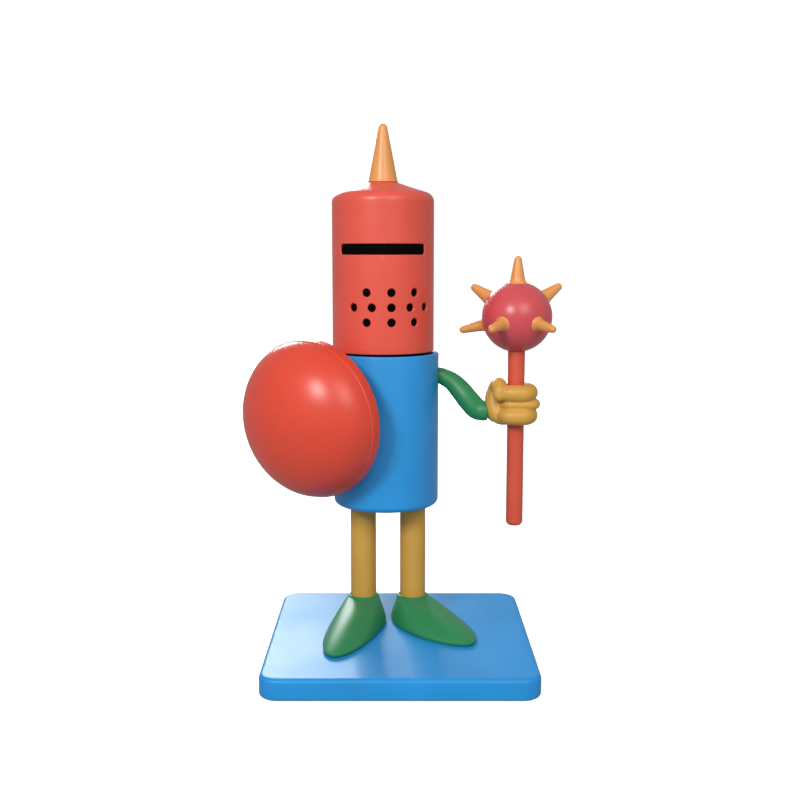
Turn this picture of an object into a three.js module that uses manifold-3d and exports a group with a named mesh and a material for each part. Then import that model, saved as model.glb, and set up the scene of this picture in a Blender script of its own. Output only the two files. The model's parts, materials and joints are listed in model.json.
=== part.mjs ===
// A knight figurine on a square display base, built as an assembly of separate moulded pieces.
// Millimetres, +Z up. The figure looks along -Y, its mace hand is on +X and its shield is on -X.
// The origin is the centre of the base's underside.
import * as THREE from "three";
import { ConvexGeometry } from "three/addons/geometries/ConvexGeometry.js";
import { mergeVertices } from "three/addons/utils/BufferGeometryUtils.js";
import Module from "manifold-3d";

const wasm = await Module();
wasm.setup();

// ---- Shared sizes ----
const GAP = 0.3; // clearance between pieces that meet or slide
const OVERRUN = 1; // how far a cutting shape runs past the face that it cuts
const BIG_SIDES = 36; // flats round a body, a helmet or a shield
const MID_SIDES = 16; // flats round a leg, a shaft or a spike
const SMALL_SIDES = 8; // flats round a screw, a peg or a small hole

// ---- Base ----
const BASE_SIDE = 100;
const BASE_TOP = 8.4; // height of the upper face above the ground
const BASE_CORNER = 7;
const BASE_EDGE = 1.5; // rounding of the long edges
const BASE_WALL = 2.6;
const BASE_ROOF = 2.6;
const BASE_RIB = 1.6;
const PAD_PROUD = 0.3; // the pad stands this far below the shell's rim
const PAD_THICK = 1.0;
const COVER_THICK = 1.6;
const COVER_SCREW_INSET = 10; // from the base's side to the screw's axis
const COVER_BOSS_R = 3.4;
const COVER_HEAD_R = 2.4;
const COVER_HEAD_HIGH = 1.2;
const COVER_SCREW_R = 1.2;
const COVER_SCREW_LONG = 4.3;

// ---- Screws that hold the figure ----
const SCREW_R = 1.5;
const SCREW_HEAD_R = 2.8;
const SCREW_HEAD_HIGH = 1.8;
const ANKLE_SCREW_LONG = 18;
const ANKLE_BOSS_R = 5;
const HIP_SCREW_LONG = 12;

// ---- Legs and shoes ----
const FIGURE_Y = 15; // the figure stands behind the middle of the base
const LEG_R = 5.1;
const HIP_HIGH = 48.2; // from the base's top to the body's underside
const SPIGOT_R = 3.6;
const SOCKET_DEEP = 6; // how far a leg goes into its shoe
const SHOE_HIGH = 10.5;
const SHOE_COLLAR_WALL = 1.2; // wall of the collar round the leg
const SOLE_EDGE_HIGH = 2.4;
const SOLE_TUCK = 0.96; // the sole's underside against its widest outline
const SHOE_PIN_R = 1.5;
const SHOE_PIN_AT = 17; // from the ankle towards the toe
const SHOE_PIN_LONG = 2;
const SHOE_COLLAR_R = LEG_R + SHOE_COLLAR_WALL;
// toe: ankle to toe, heel: ankle to heel, wide: half width, wideAt: its distance before the ankle,
// blunt: 2 is an ellipse, turn: outward angle of the toe in degrees
const SIDES = {
  shield_side: { x: -14.6, toe: 46, heel: 9.5, wide: 10.2, wideAt: 7, blunt: 2, turn: -12.4 },
  mace_side: { x: 5.2, toe: 41, heel: 10, wide: 11.8, wideAt: 14, blunt: 1.8, turn: 33.5 },
};

// ---- Body ----
const BODY_X = -5.45;
const BODY_R = 20.65;
const BODY_HIGH = 60.1;
const BODY_WALL = 2.2;
const BODY_FLOOR = 2.6;
const BODY_EDGE = 2;
const LID_THICK = 2.2;
const LID_DEEP = 0.5; // the lid lies this far below the body's rim
const LEDGE_WIDE = 1.5;
const LEDGE_HIGH = 1.0;
const SKIRT_WALL = 1.4;
const HIP_PLATE_THICK = 2.5;
const HIP_PLATE_R = 6; // half width of the plate that ties the two legs
const WASHER_R = 4.6;
const WASHER_THICK = 0.8;

// ---- Neck ----
const NECK_PEG_R = 4;
const NECK_FLANGE_R = 7;
const NECK_FLANGE_THICK = 1.8;
const NECK_BARB_R = 5.4;
const NECK_BARB_STEP = 1.2;
const NECK_BARB_HIGH = 4.2;
const NECK_SLOT_WIDE = 1.2;
const NECK_SPACE = 0.8; // from the body's rim to the helmet's rim
const NECK_WASHER_R = 12;

// ---- Helmet ----
const HELMET_X = -6.5;
const HELMET_R = 19.75;
const HELMET_SIDE = 57.3; // height of the straight side
const HELMET_WALL = 2.2;
const HELMET_EDGE = 4; // rounding between the side and the roof
const ROOF_SLOPE = THREE.MathUtils.degToRad(19);
const PLUG_THICK = 4;
const LINER_WALL = 0.8;
const LINER_TOP = HELMET_SIDE - 5.3;
const SLOT_WIDE = 1.605 * HELMET_R;
const SLOT_HIGH = 4.1;
const SLOT_AT = 39.35; // middle of the eye slot above the helmet's rim
const HOLE_R = 1.6;
const HOLE_TURN = 10; // the hole pattern is turned this far towards the mace side, in degrees
const HOLE_ROWS = [
  { high: 23.2, count: 3, step: 28 },
  { high: 17.6, count: 5, step: 22 },
  { high: 12.0, count: 3, step: 28 },
];
const CREST_R = 5.25;
const CREST_FLARE = 0.85;
const CREST_FLARE_HIGH = 1.3;
const CREST_LONG = 18.7; // from the flare to the rounded tip's start
const CREST_TIP_R = 1.85;
const CREST_PEG_R = 2.5;
const NUT_R = 5;
const NUT_THICK = 1.4;
const PEG_END = 1.2; // how far a peg stands out past the piece that holds it

// ---- Arms ----
const SHOULDER_DROP = 9.1; // from the body's rim down to the arm pegs
const ARM_R = 4.1;
const ARM_PEG_R = 3;
const CLIP_GROOVE_R = 2.2;
const CLIP_R = 4.6;
const CLIP_THICK = 1.6;
const CLIP_MOUTH = 4;
const WRIST_NECK_R = 2.2;
const WRIST_NECK_LONG = 3;
const WRIST_HEAD_R = 2.7;
const WRIST_HEAD_LONG = 1.4;
// Middle lines of the two arms, from the point where the peg enters the body's side. The last two
// points lie along the wrist's axis, so that an arm ends square to it.
const MACE_ARM_LINE = [
  [-1.5, 0, 0.1],
  [1.6, 0, -0.35],
  [5.3, -0.5, -2.3],
  [8.6, -1.6, -5.5],
  [11.5, -3.6, -9],
  [14.4, -6.6, -12],
  [16.6, -8.5, -12.7],
  [18, -8.5, -12.7],
];
const SHIELD_ARM_LINE = [
  [1.5, 0, 0],
  [-1.4, 0.1, 0],
  [-5, 1.4, -0.6],
  [-7.9, 3.4, -2.8],
  [-9, 5.3, -5.6],
  [-9, 5.3, -7.7],
];

// ---- Fists ----
const GRIP_AT = 11.6; // from the wrist to the grip's axis
const GRIP_FORWARD = 1.2; // the grip's axis lies this far in front of the wrist
const FIST_LOW = -4.8;
const FIST_HIGH = 10.4;
const FINGER_STRETCH = 0.88; // fingers are a little flatter than they are high
const FINGERS = [
  { high: 7.3, r: 3.1, out: 0 },
  { high: 3, r: 2, out: 1.8 },
  { high: -1.4, r: 3.2, out: 0 },
];
const PALM_THICK = 4.6;
const PALM_WIDE = 10.2; // half of the palm's length along the arm's direction
const HEEL_RADII = [5.4, 5.2, 6.4]; // the heel of the hand, round the wrist
const THUMB_R = 2.6;

// ---- Mace ----
const SHAFT_R = 3.27;
const SHAFT_LOW = 47.2; // length below the grip's middle
const SHAFT_HIGH = 20.6; // length above the grip's middle, up to the ball
const SHAFT_CHAMFER = 0.8;
const FIST_MIDDLE = 2.3; // middle of the fist above the wrist's axis
const BALL_R = 13.4;
const BALL_SEAT = 4; // how far the full shaft goes into the ball
const BALL_NECK_R = 2.3;
const BALL_NECK_LONG = 6;
const BALL_BARB_R = 2.8;
const BALL_BARB_LONG = 2.4;
const SPIKE_REACH = 23.2; // from the ball's middle to a spike's tip
const SPIKE_WAIST = 1.4; // from a spike's foot up to its waist
const SPIKE_PEG_R = 1.3;
const SPIKE_PEG_LONG = 3.6;
// The upper spikes are stout and the lower ones are slim. Each size is a radius.
const STOUT = { foot: 3.9, waist: 3, tip: 1.4 };
const SLIM = { foot: 3, waist: 2.4, tip: 1.3 };
// azimuth 0 points to the front and grows towards the mace side; both angles in degrees
const SPIKES = [
  { azimuth: 0, elevation: 88, ...STOUT },
  { azimuth: 116, elevation: 31, ...STOUT },
  { azimuth: -124, elevation: 30, ...STOUT },
  { azimuth: 31, elevation: -9, ...SLIM },
  { azimuth: -31, elevation: -9, ...SLIM },
  { azimuth: -107, elevation: -14, ...SLIM },
  { azimuth: 155, elevation: -12, ...SLIM },
];

// ---- Shield ----
const SHIELD_YAW = THREE.MathUtils.degToRad(35.5); // turned away from the front, towards -X
const SHIELD_PITCH = THREE.MathUtils.degToRad(-5.6); // the face looks a little down
const SHIELD_R = 30.4;
const SHIELD_BAND = 4.6;
const SHIELD_DOME = 17.4;
const SHIELD_WALL = 2.4;
const SHIELD_LEDGE = 1.8;
const SHIELD_BACK_THICK = 2;
const SHIELD_BACK_DEEP = 0.4;
const HUB_BOSS_R = 4;
const HUB_WASHER_R = 5;
const HUB_SCREW_LONG = 14;
const STRAP_THICK = 2;
const STRAP_HUB_R = 5.5; // the strap is this wide round the hub, and narrower round its posts
const STRAP_END_R = 3;
const BAR_R = 2.6;
const POST_R = 1.8;
// From the grip bar's middle to the shield's hub, in the shield's own directions.
const GRIP_TO_HUB = { along: 14.4, up: 6.2, out: 12.9 };
const BAR_INNER = 7.9; // from the grip's middle to the post by the hub
const BAR_OUTER = 12.6; // from the grip's middle to the post by the rim

// ---- Colours ----
const PAINT = {
  blue: { color: 0x2f86d6, roughness: 0.35 },
  coral: { color: 0xd8463f, roughness: 0.35 },
  orange_red: { color: 0xd8452a, roughness: 0.35 },
  rose: { color: 0xc2485a, roughness: 0.35 },
  ochre: { color: 0xc9962f, roughness: 0.4 },
  gold: { color: 0xe0983a, roughness: 0.4 },
  green: { color: 0x1f8a3d, roughness: 0.35 },
  black: { color: 0x0b0b0c, roughness: 0.6 },
  natural: { color: 0xd8d5cc, roughness: 0.5 },
  foam: { color: 0x1c1c1e, roughness: 0.95 },
  steel: { color: 0x9a9ca0, roughness: 0.35, metalness: 0.9 },
};

// ---- Heights that follow from the sizes ----
const COVER_LOW = PAD_THICK + GAP;
const COVER_HIGH = COVER_LOW + COVER_THICK;
const BASE_INSIDE = BASE_TOP - BASE_ROOF;
const BODY_LOW = BASE_TOP + HIP_HIGH;
const BODY_TOP = BODY_LOW + BODY_HIGH;
const SHOULDER_Z = BODY_TOP - SHOULDER_DROP;
const HELMET_LOW = BODY_TOP + NECK_SPACE;
const LID_TOP = BODY_HIGH - LID_DEEP;
const LID_LOW = LID_TOP - LID_THICK;
const LID_R = BODY_R - BODY_WALL - GAP;
const LEDGE_R = BODY_R - BODY_WALL - LEDGE_WIDE;
const LEDGE_TOP = LID_LOW - GAP;
const PLUG_R = HELMET_R - HELMET_WALL - GAP;
const LEG_LOW = SHOE_HIGH - SOCKET_DEEP + GAP;
const HIP_PLATE_LOW = BODY_FLOOR + GAP;
const HIP_PLATE_TOP = HIP_PLATE_LOW + HIP_PLATE_THICK;
const SPIGOT_TOP = HIP_PLATE_TOP - GAP;

// ================= Geometry helpers =================

// A closed three.js geometry as a solid that can be cut and joined.
function solidOf(geometry) {
  const bare = geometry.index ? geometry.toNonIndexed() : geometry.clone();
  bare.deleteAttribute("normal");
  bare.deleteAttribute("uv");
  const merged = mergeVertices(bare, 1e-4);
  const index = merged.index.array;
  const corners = [];
  for (let i = 0; i < index.length; i += 3) {
    const [a, b, c] = [index[i], index[i + 1], index[i + 2]];
    if (a !== b && b !== c && a !== c) corners.push(a, b, c);
  }
  const vertProperties = merged.attributes.position.array;
  const triVerts = new Uint32Array(corners);
  return new wasm.Manifold(new wasm.Mesh({ numProp: 3, vertProperties, triVerts }));
}

function meshOf(name, solid, paint) {
  const { vertProperties, triVerts } = solid.getMesh();
  const geometry = new THREE.BufferGeometry();
  geometry.setAttribute("position", new THREE.BufferAttribute(vertProperties, 3));
  geometry.setIndex(new THREE.BufferAttribute(triVerts, 1));
  const mesh = new THREE.Mesh(geometry, new THREE.MeshStandardMaterial(PAINT[paint]));
  mesh.name = name;
  return mesh;
}

// A solid turned about Z. The profile holds [radius, height] points with the outside listed upwards.
function turned(profile, sides) {
  const points = profile.map(([radius, height]) => new THREE.Vector2(radius, height));
  return solidOf(new THREE.LatheGeometry(points, sides).rotateX(Math.PI / 2));
}

function ring(inner, outer, low, high, sides) {
  const profile = [[inner, low], [outer, low], [outer, high], [inner, high], [inner, low]];
  return turned(profile, sides);
}

function rod(radius, low, high, sides = SMALL_SIDES) {
  return turned([[0, low], [radius, low], [radius, high], [0, high]], sides);
}

function block(wide, deep, high, x, y, z) {
  return solidOf(new THREE.BoxGeometry(wide, deep, high).translate(x, y, z));
}

function arc(x, y, radius, from, to, steps) {
  return Array.from({ length: steps + 1 }, (_, i) => {
    const angle = from + ((to - from) * i) / steps;
    return [x + radius * Math.cos(angle), y + radius * Math.sin(angle)];
  });
}

function moved(solid, x, y, z = 0) {
  return solid.translate([x, y, z]);
}

// A rod along X between two places.
function rodAlongX(radius, from, to, sides = SMALL_SIDES) {
  return rod(radius, from, to, sides).rotate([0, 90, 0]);
}

function joined(solids) {
  return solids.reduce((whole, solid) => whole.add(solid));
}

function cutBy(solid, tools) {
  return tools.reduce((rest, tool) => rest.subtract(tool), solid);
}

function roundedSquare(side, corner) {
  const straight = side / 2 - corner;
  const quarter = Math.PI / 2;
  const shape = new THREE.Shape();
  shape.absarc(straight, straight, corner, 0, quarter);
  shape.absarc(-straight, straight, corner, quarter, 2 * quarter);
  shape.absarc(-straight, -straight, corner, 2 * quarter, 3 * quarter);
  shape.absarc(straight, -straight, corner, 3 * quarter, 4 * quarter);
  return shape;
}

function slab(shape, low, high, curveSegments = 3) {
  const settings = { depth: high - low, bevelEnabled: false, curveSegments };
  return solidOf(new THREE.ExtrudeGeometry(shape, settings).translate(0, 0, low));
}

// A tube of a constant round section along a smooth line through the points.
function tube(points, radius, steps, sides) {
  const line = new THREE.CatmullRomCurve3(points.map((p) => new THREE.Vector3(...p)));
  const outline = arc(0, 0, radius, 0, 2 * Math.PI, sides).slice(0, sides);
  const shape = new THREE.Shape(outline.map(([x, y]) => new THREE.Vector2(x, y)));
  const settings = { steps, bevelEnabled: false, extrudePath: line };
  return solidOf(new THREE.ExtrudeGeometry(shape, settings));
}

function ellipsoid(radii, centre, across, around) {
  const ball = new THREE.SphereGeometry(1, across, around).rotateX(Math.PI / 2);
  return solidOf(ball.scale(...radii).translate(...centre));
}

// A machine screw along +Z: its head hangs below z = 0 and its shank rises to z = long.
function panScrew(long) {
  const tip = 0.5;
  const profile = [
    [0, -SCREW_HEAD_HIGH],
    [SCREW_HEAD_R - tip, -SCREW_HEAD_HIGH],
    [SCREW_HEAD_R, tip - SCREW_HEAD_HIGH],
    [SCREW_HEAD_R, 0],
    [SCREW_R, 0],
    [SCREW_R, long - tip],
    [SCREW_R - tip, long],
    [0, long],
  ];
  return turned(profile, SMALL_SIDES);
}

function groupAt(x, y, z, ...children) {
  const group = new THREE.Group();
  group.position.set(x, y, z);
  group.add(...children);
  return group;
}

// ================= Base =================

const legPlaces = Object.entries(SIDES).map(([side, foot]) => ({ side, foot, x: foot.x }));
const coverScrewPlaces = [-1, 1].flatMap((sx) =>
  [-1, 1].map((sy) => [
    sx * (BASE_SIDE / 2 - COVER_SCREW_INSET),
    sy * (BASE_SIDE / 2 - COVER_SCREW_INSET),
  ]),
);

// The toe's direction in the ground plane, as an angle from +X.
function toeAngle(foot) {
  return THREE.MathUtils.degToRad(foot.turn - 90);
}

function shoePinPlace(foot) {
  const angle = toeAngle(foot);
  return [foot.x + SHOE_PIN_AT * Math.cos(angle), FIGURE_Y + SHOE_PIN_AT * Math.sin(angle)];
}

function baseShell() {
  const settings = {
    depth: BASE_TOP - PAD_PROUD - 2 * BASE_EDGE,
    bevelSize: BASE_EDGE,
    bevelOffset: -BASE_EDGE,
    bevelThickness: BASE_EDGE,
    bevelSegments: 2,
    curveSegments: 3,
  };
  const outside = new THREE.ExtrudeGeometry(roundedSquare(BASE_SIDE, BASE_CORNER), settings);
  const whole = solidOf(outside.translate(0, 0, PAD_PROUD + BASE_EDGE));
  const inner = BASE_SIDE - 2 * BASE_WALL;
  const innerCorner = BASE_CORNER - BASE_WALL;
  const shell = whole.subtract(slab(roundedSquare(inner, innerCorner), -OVERRUN, BASE_INSIDE));
  const bossLow = COVER_HIGH + GAP;
  const ribHigh = BASE_INSIDE - bossLow + OVERRUN;
  const ribMiddle = bossLow + ribHigh / 2;
  const ribLong = inner + BASE_WALL;
  const bossTop = BASE_INSIDE + OVERRUN;
  const added = [
    shell,
    block(ribLong, BASE_RIB, ribHigh, 0, 0, ribMiddle),
    block(BASE_RIB, ribLong, ribHigh, 0, 0, ribMiddle),
    ...coverScrewPlaces.map(([x, y]) => moved(rod(COVER_BOSS_R, bossLow, bossTop), x, y)),
    ...legPlaces.map(({ x }) => moved(rod(ANKLE_BOSS_R, bossLow, bossTop, MID_SIDES), x, FIGURE_Y)),
  ];
  const pilotTop = COVER_LOW + COVER_SCREW_LONG + GAP;
  const holes = [
    ...coverScrewPlaces.map(([x, y]) => moved(rod(COVER_SCREW_R + GAP, 0, pilotTop), x, y)),
    ...legPlaces.map(({ x }) => moved(rod(SCREW_HEAD_R + GAP, 0, BASE_INSIDE), x, FIGURE_Y)),
    ...legPlaces.map(({ x }) => moved(rod(SCREW_R + GAP, 0, BASE_TOP + OVERRUN), x, FIGURE_Y)),
    ...legPlaces.map(({ foot }) => {
      const hole = rod(SHOE_PIN_R + GAP, 0, BASE_TOP + OVERRUN);
      return moved(hole, ...shoePinPlace(foot));
    }),
  ];
  return cutBy(joined(added), holes);
}

function baseCover() {
  const side = BASE_SIDE - 2 * (BASE_WALL + GAP);
  const plate = slab(roundedSquare(side, BASE_CORNER - BASE_WALL - GAP), COVER_LOW, COVER_HIGH);
  const seat = turned(
    [
      [0, COVER_LOW - OVERRUN],
      [COVER_HEAD_R + GAP, COVER_LOW - OVERRUN],
      [COVER_HEAD_R + GAP, COVER_LOW],
      [COVER_SCREW_R + GAP, COVER_LOW + COVER_HEAD_HIGH],
      [COVER_SCREW_R + GAP, COVER_HIGH + OVERRUN],
      [0, COVER_HIGH + OVERRUN],
    ],
    SMALL_SIDES,
  );
  return cutBy(plate, coverScrewPlaces.map(([x, y]) => moved(seat, x, y)));
}

function coverScrew() {
  const profile = [
    [0, 0],
    [COVER_HEAD_R, 0],
    [COVER_SCREW_R, COVER_HEAD_HIGH],
    [COVER_SCREW_R, COVER_SCREW_LONG],
    [0, COVER_SCREW_LONG],
  ];
  return turned(profile, SMALL_SIDES);
}

function basePieces() {
  const side = BASE_SIDE - 2 * (BASE_WALL + GAP);
  const pad = slab(roundedSquare(side, BASE_CORNER - BASE_WALL - GAP), 0, PAD_THICK);
  const screws = coverScrewPlaces.map(([x, y], i) => {
    const screw = meshOf(`base_cover_screw_${i + 1}`, coverScrew(), "steel");
    screw.position.set(x, y, COVER_LOW);
    return screw;
  });
  return [
    meshOf("base_shell", baseShell(), "blue"),
    meshOf("base_cover", baseCover(), "black"),
    meshOf("base_pad", pad, "foam"),
    ...screws,
  ];
}

// ================= Legs and shoes =================

// Outline of a sole, with the toe along +X and the ankle at the origin.
function soleOutline(foot, scale) {
  const steps = 7;
  const span = Math.PI / 2;
  const front = foot.toe - foot.wideAt;
  const back = foot.wideAt + foot.heel;
  const upper = [];
  for (let i = 0; i <= steps; i++) {
    const share = Math.sin((span * i) / steps);
    upper.push([foot.wideAt + front * share, foot.wide * (1 - share ** 2) ** (1 / foot.blunt)]);
  }
  for (let i = 1; i <= steps; i++) {
    const angle = (span * i) / steps;
    upper.push([foot.wideAt - back * Math.sin(angle), foot.wide * Math.cos(angle)]);
  }
  const both = [...upper, ...upper.map(([x, y]) => [x, -y])];
  return both.map(([x, y]) => [foot.wideAt + (x - foot.wideAt) * scale, y * scale]);
}

function shoe(foot) {
  const corners = [
    ...soleOutline(foot, SOLE_TUCK).map(([x, y]) => new THREE.Vector3(x, y, GAP)),
    ...soleOutline(foot, 1).map(([x, y]) => new THREE.Vector3(x, y, SOLE_EDGE_HIGH)),
    ...arc(0, 0, SHOE_COLLAR_R, 0, 2 * Math.PI, MID_SIDES).map(
      ([x, y]) => new THREE.Vector3(x, y, SHOE_HIGH),
    ),
  ];
  const upper = solidOf(new ConvexGeometry(corners));
  const pin = moved(rod(SHOE_PIN_R, -SHOE_PIN_LONG, OVERRUN), SHOE_PIN_AT, 0);
  const socket = rod(LEG_R + GAP, SHOE_HIGH - SOCKET_DEEP, SHOE_HIGH + OVERRUN, MID_SIDES);
  const screwHole = rod(SCREW_R + GAP, -OVERRUN, SHOE_HIGH);
  return cutBy(upper.add(pin), [socket, screwHole]);
}

function leg() {
  const ankleBore = BASE_INSIDE - GAP + ANKLE_SCREW_LONG - BASE_TOP + OVERRUN;
  const spigotTop = HIP_HIGH + SPIGOT_TOP;
  const hipBore = spigotTop - HIP_SCREW_LONG;
  const bore = SCREW_R + GAP;
  const profile = [
    [0, ankleBore],
    [bore, ankleBore],
    [bore, LEG_LOW],
    [LEG_R, LEG_LOW],
    [LEG_R, HIP_HIGH - GAP],
    [SPIGOT_R, HIP_HIGH - GAP],
    [SPIGOT_R, spigotTop],
    [bore, spigotTop],
    [bore, hipBore],
    [0, hipBore],
  ];
  return turned(profile, MID_SIDES);
}

function legPieces({ side, foot, x }) {
  const shoeMesh = meshOf(`${side}_shoe`, shoe(foot), "green");
  shoeMesh.rotation.z = toeAngle(foot);
  const legMesh = meshOf(`${side}_leg`, leg(), "ochre");
  const ankleScrew = meshOf(`${side}_ankle_screw`, panScrew(ANKLE_SCREW_LONG), "steel");
  ankleScrew.position.z = BASE_INSIDE - GAP - BASE_TOP;
  const washerLow = HIP_HIGH + HIP_PLATE_TOP + GAP;
  const washerTop = washerLow + WASHER_THICK;
  const washer = ring(SCREW_R + GAP, WASHER_R, washerLow, washerTop, MID_SIDES);
  const hipScrew = meshOf(`${side}_hip_screw`, panScrew(HIP_SCREW_LONG), "steel");
  hipScrew.rotation.x = Math.PI;
  hipScrew.position.z = washerTop + GAP;
  const washerMesh = meshOf(`${side}_hip_washer`, washer, "steel");
  return groupAt(x, FIGURE_Y, BASE_TOP, shoeMesh, legMesh, ankleScrew, washerMesh, hipScrew);
}

// ================= Body =================

function bodyShell() {
  const inner = BODY_R - BODY_WALL;
  const edge = arc(BODY_R - BODY_EDGE, BODY_EDGE, BODY_EDGE, -Math.PI / 2, 0, 3);
  const rimChamfer = 0.3;
  const ledgeLow = LEDGE_TOP - LEDGE_HIGH;
  const profile = [
    [0, 0],
    ...edge,
    [BODY_R, BODY_HIGH - rimChamfer],
    [BODY_R - rimChamfer, BODY_HIGH],
    [inner, BODY_HIGH],
    [inner, LEDGE_TOP],
    [LEDGE_R, LEDGE_TOP],
    [LEDGE_R, ledgeLow],
    [inner, ledgeLow],
    [inner, BODY_FLOOR],
    [0, BODY_FLOOR],
  ];
  const armHole = rodAlongX(ARM_PEG_R + GAP, -BODY_R - OVERRUN, BODY_R + OVERRUN, MID_SIDES);
  const legHole = rod(SPIGOT_R + GAP, -OVERRUN, BODY_FLOOR + OVERRUN, MID_SIDES);
  return cutBy(turned(profile, BIG_SIDES), [
    moved(armHole, 0, 0, BODY_HIGH - SHOULDER_DROP),
    ...legPlaces.map(({ x }) => moved(legHole, x - BODY_X, 0)),
  ]);
}

function bodyLid() {
  const skirtR = LEDGE_R - GAP;
  const skirtLow = LEDGE_TOP - LEDGE_HIGH - GAP;
  const profile = [
    [0, LID_LOW],
    [skirtR - SKIRT_WALL, LID_LOW],
    [skirtR - SKIRT_WALL, skirtLow],
    [skirtR, skirtLow],
    [skirtR, LID_LOW],
    [LID_R, LID_LOW],
    [LID_R, LID_TOP],
    [0, LID_TOP],
  ];
  const neckHole = rod(NECK_PEG_R + GAP, LID_LOW - OVERRUN, LID_TOP + OVERRUN, MID_SIDES);
  return turned(profile, BIG_SIDES).subtract(moved(neckHole, HELMET_X - BODY_X, 0));
}

// A plate with round ends that ties both legs to the body's floor, trimmed to the body's inside.
function hipPlate() {
  const [first, second] = legPlaces.map(({ x }) => x - BODY_X);
  const [low, high] = [HIP_PLATE_LOW, HIP_PLATE_TOP];
  const middle = (first + second) / 2;
  const between = Math.abs(second - first);
  const height = HIP_PLATE_THICK;
  const bar = block(between, 2 * HIP_PLATE_R, height, middle, 0, (low + high) / 2);
  const ends = [first, second].map((x) => moved(rod(HIP_PLATE_R, low, high, MID_SIDES), x, 0));
  const inside = rod(BODY_R - BODY_WALL - GAP, low - OVERRUN, high + OVERRUN, BIG_SIDES);
  const hole = rod(SPIGOT_R + GAP, low - OVERRUN, high + OVERRUN, MID_SIDES);
  const holes = [first, second].map((x) => moved(hole, x, 0));
  return cutBy(joined([bar, ...ends]).intersect(inside), holes);
}

// ================= Neck =================

// Heights here are above the body's underside.
function neckPeg() {
  const flangeTop = LID_LOW - GAP;
  const barbLow = BODY_HIGH + NECK_SPACE + PLUG_THICK + GAP;
  const barbTop = barbLow + NECK_BARB_HIGH;
  const profile = [
    [0, flangeTop - NECK_FLANGE_THICK],
    [NECK_FLANGE_R, flangeTop - NECK_FLANGE_THICK],
    [NECK_FLANGE_R, flangeTop],
    [NECK_PEG_R, flangeTop],
    [NECK_PEG_R, barbLow],
    [NECK_BARB_R, barbLow],
    [NECK_BARB_R, barbLow + NECK_BARB_STEP],
    [NECK_PEG_R - OVERRUN, barbTop],
    [0, barbTop],
  ];
  const slotLow = barbLow - PLUG_THICK / 2;
  const slotHigh = barbTop + OVERRUN - slotLow;
  const slotMiddle = slotLow + slotHigh / 2;
  const slot = block(NECK_SLOT_WIDE, 3 * NECK_BARB_R, slotHigh, 0, 0, slotMiddle);
  return turned(profile, MID_SIDES).subtract(slot);
}

function neckWasher() {
  const low = LID_TOP + GAP;
  const high = BODY_HIGH + NECK_SPACE - GAP;
  return ring(NECK_PEG_R + GAP, NECK_WASHER_R, low, high, BIG_SIDES);
}

function bodyPieces() {
  const neck = [
    meshOf("neck_peg", neckPeg(), "natural"),
    meshOf("neck_washer", neckWasher(), "black"),
  ];
  neck.forEach((piece) => (piece.position.x = HELMET_X - BODY_X));
  return groupAt(
    BODY_X,
    FIGURE_Y,
    BODY_LOW,
    meshOf("body_shell", bodyShell(), "blue"),
    meshOf("body_lid", bodyLid(), "black"),
    meshOf("hip_plate", hipPlate(), "natural"),
    ...neck,
  );
}

// ================= Helmet =================

// The line from the straight side over the rounded edge to the roof's middle, moved inwards by depth.
function helmetLine(depth, steps) {
  const centre = [HELMET_R - HELMET_EDGE, HELMET_SIDE];
  const bend = arc(...centre, HELMET_EDGE - depth, 0, Math.PI / 2 - ROOF_SLOPE, steps);
  return [...bend, [0, roofHeight(0, depth)]];
}

// Height of the sloping roof at a radius, measured on the surface that lies depth below the outside.
function roofHeight(radius, depth) {
  const bendR = HELMET_EDGE - depth;
  const startR = HELMET_R - HELMET_EDGE + bendR * Math.sin(ROOF_SLOPE);
  const startZ = HELMET_SIDE + bendR * Math.cos(ROOF_SLOPE);
  return startZ + (startR - radius) * Math.tan(ROOF_SLOPE);
}

function breathHoles() {
  const reach = HELMET_R + OVERRUN;
  const inside = HELMET_R / 2;
  return HOLE_ROWS.flatMap(({ high, count, step }) =>
    Array.from({ length: count }, (_, i) => {
      const azimuth = HOLE_TURN + (i - (count - 1) / 2) * step;
      return moved(rodAlongX(HOLE_R, inside, reach).rotate([0, 0, azimuth - 90]), 0, 0, high);
    }),
  );
}

function helmetShell() {
  const rim = [
    [HELMET_R - HELMET_WALL, 0],
    [HELMET_R, 0],
  ];
  const profile = [...helmetLine(HELMET_WALL, 2).reverse(), ...rim, ...helmetLine(0, 4)];
  const reach = HELMET_R + OVERRUN;
  const slot = block(SLOT_WIDE, reach, SLOT_HIGH, 0, -reach / 2, SLOT_AT);
  const pegHole = rod(CREST_PEG_R + GAP, HELMET_SIDE, roofHeight(0, 0) + OVERRUN);
  return cutBy(turned(profile, BIG_SIDES), [slot, pegHole, ...breathHoles()]);
}

function helmetPlug() {
  return ring(NECK_PEG_R + GAP, PLUG_R, 0, PLUG_THICK, BIG_SIDES);
}

function helmetLiner() {
  return ring(PLUG_R - LINER_WALL, PLUG_R, PLUG_THICK + GAP, LINER_TOP, BIG_SIDES);
}

function nutTop() {
  return roofHeight(NUT_R, HELMET_WALL) - GAP;
}

function crestNut() {
  return ring(CREST_PEG_R + GAP, NUT_R, nutTop() - NUT_THICK, nutTop(), MID_SIDES);
}

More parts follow.
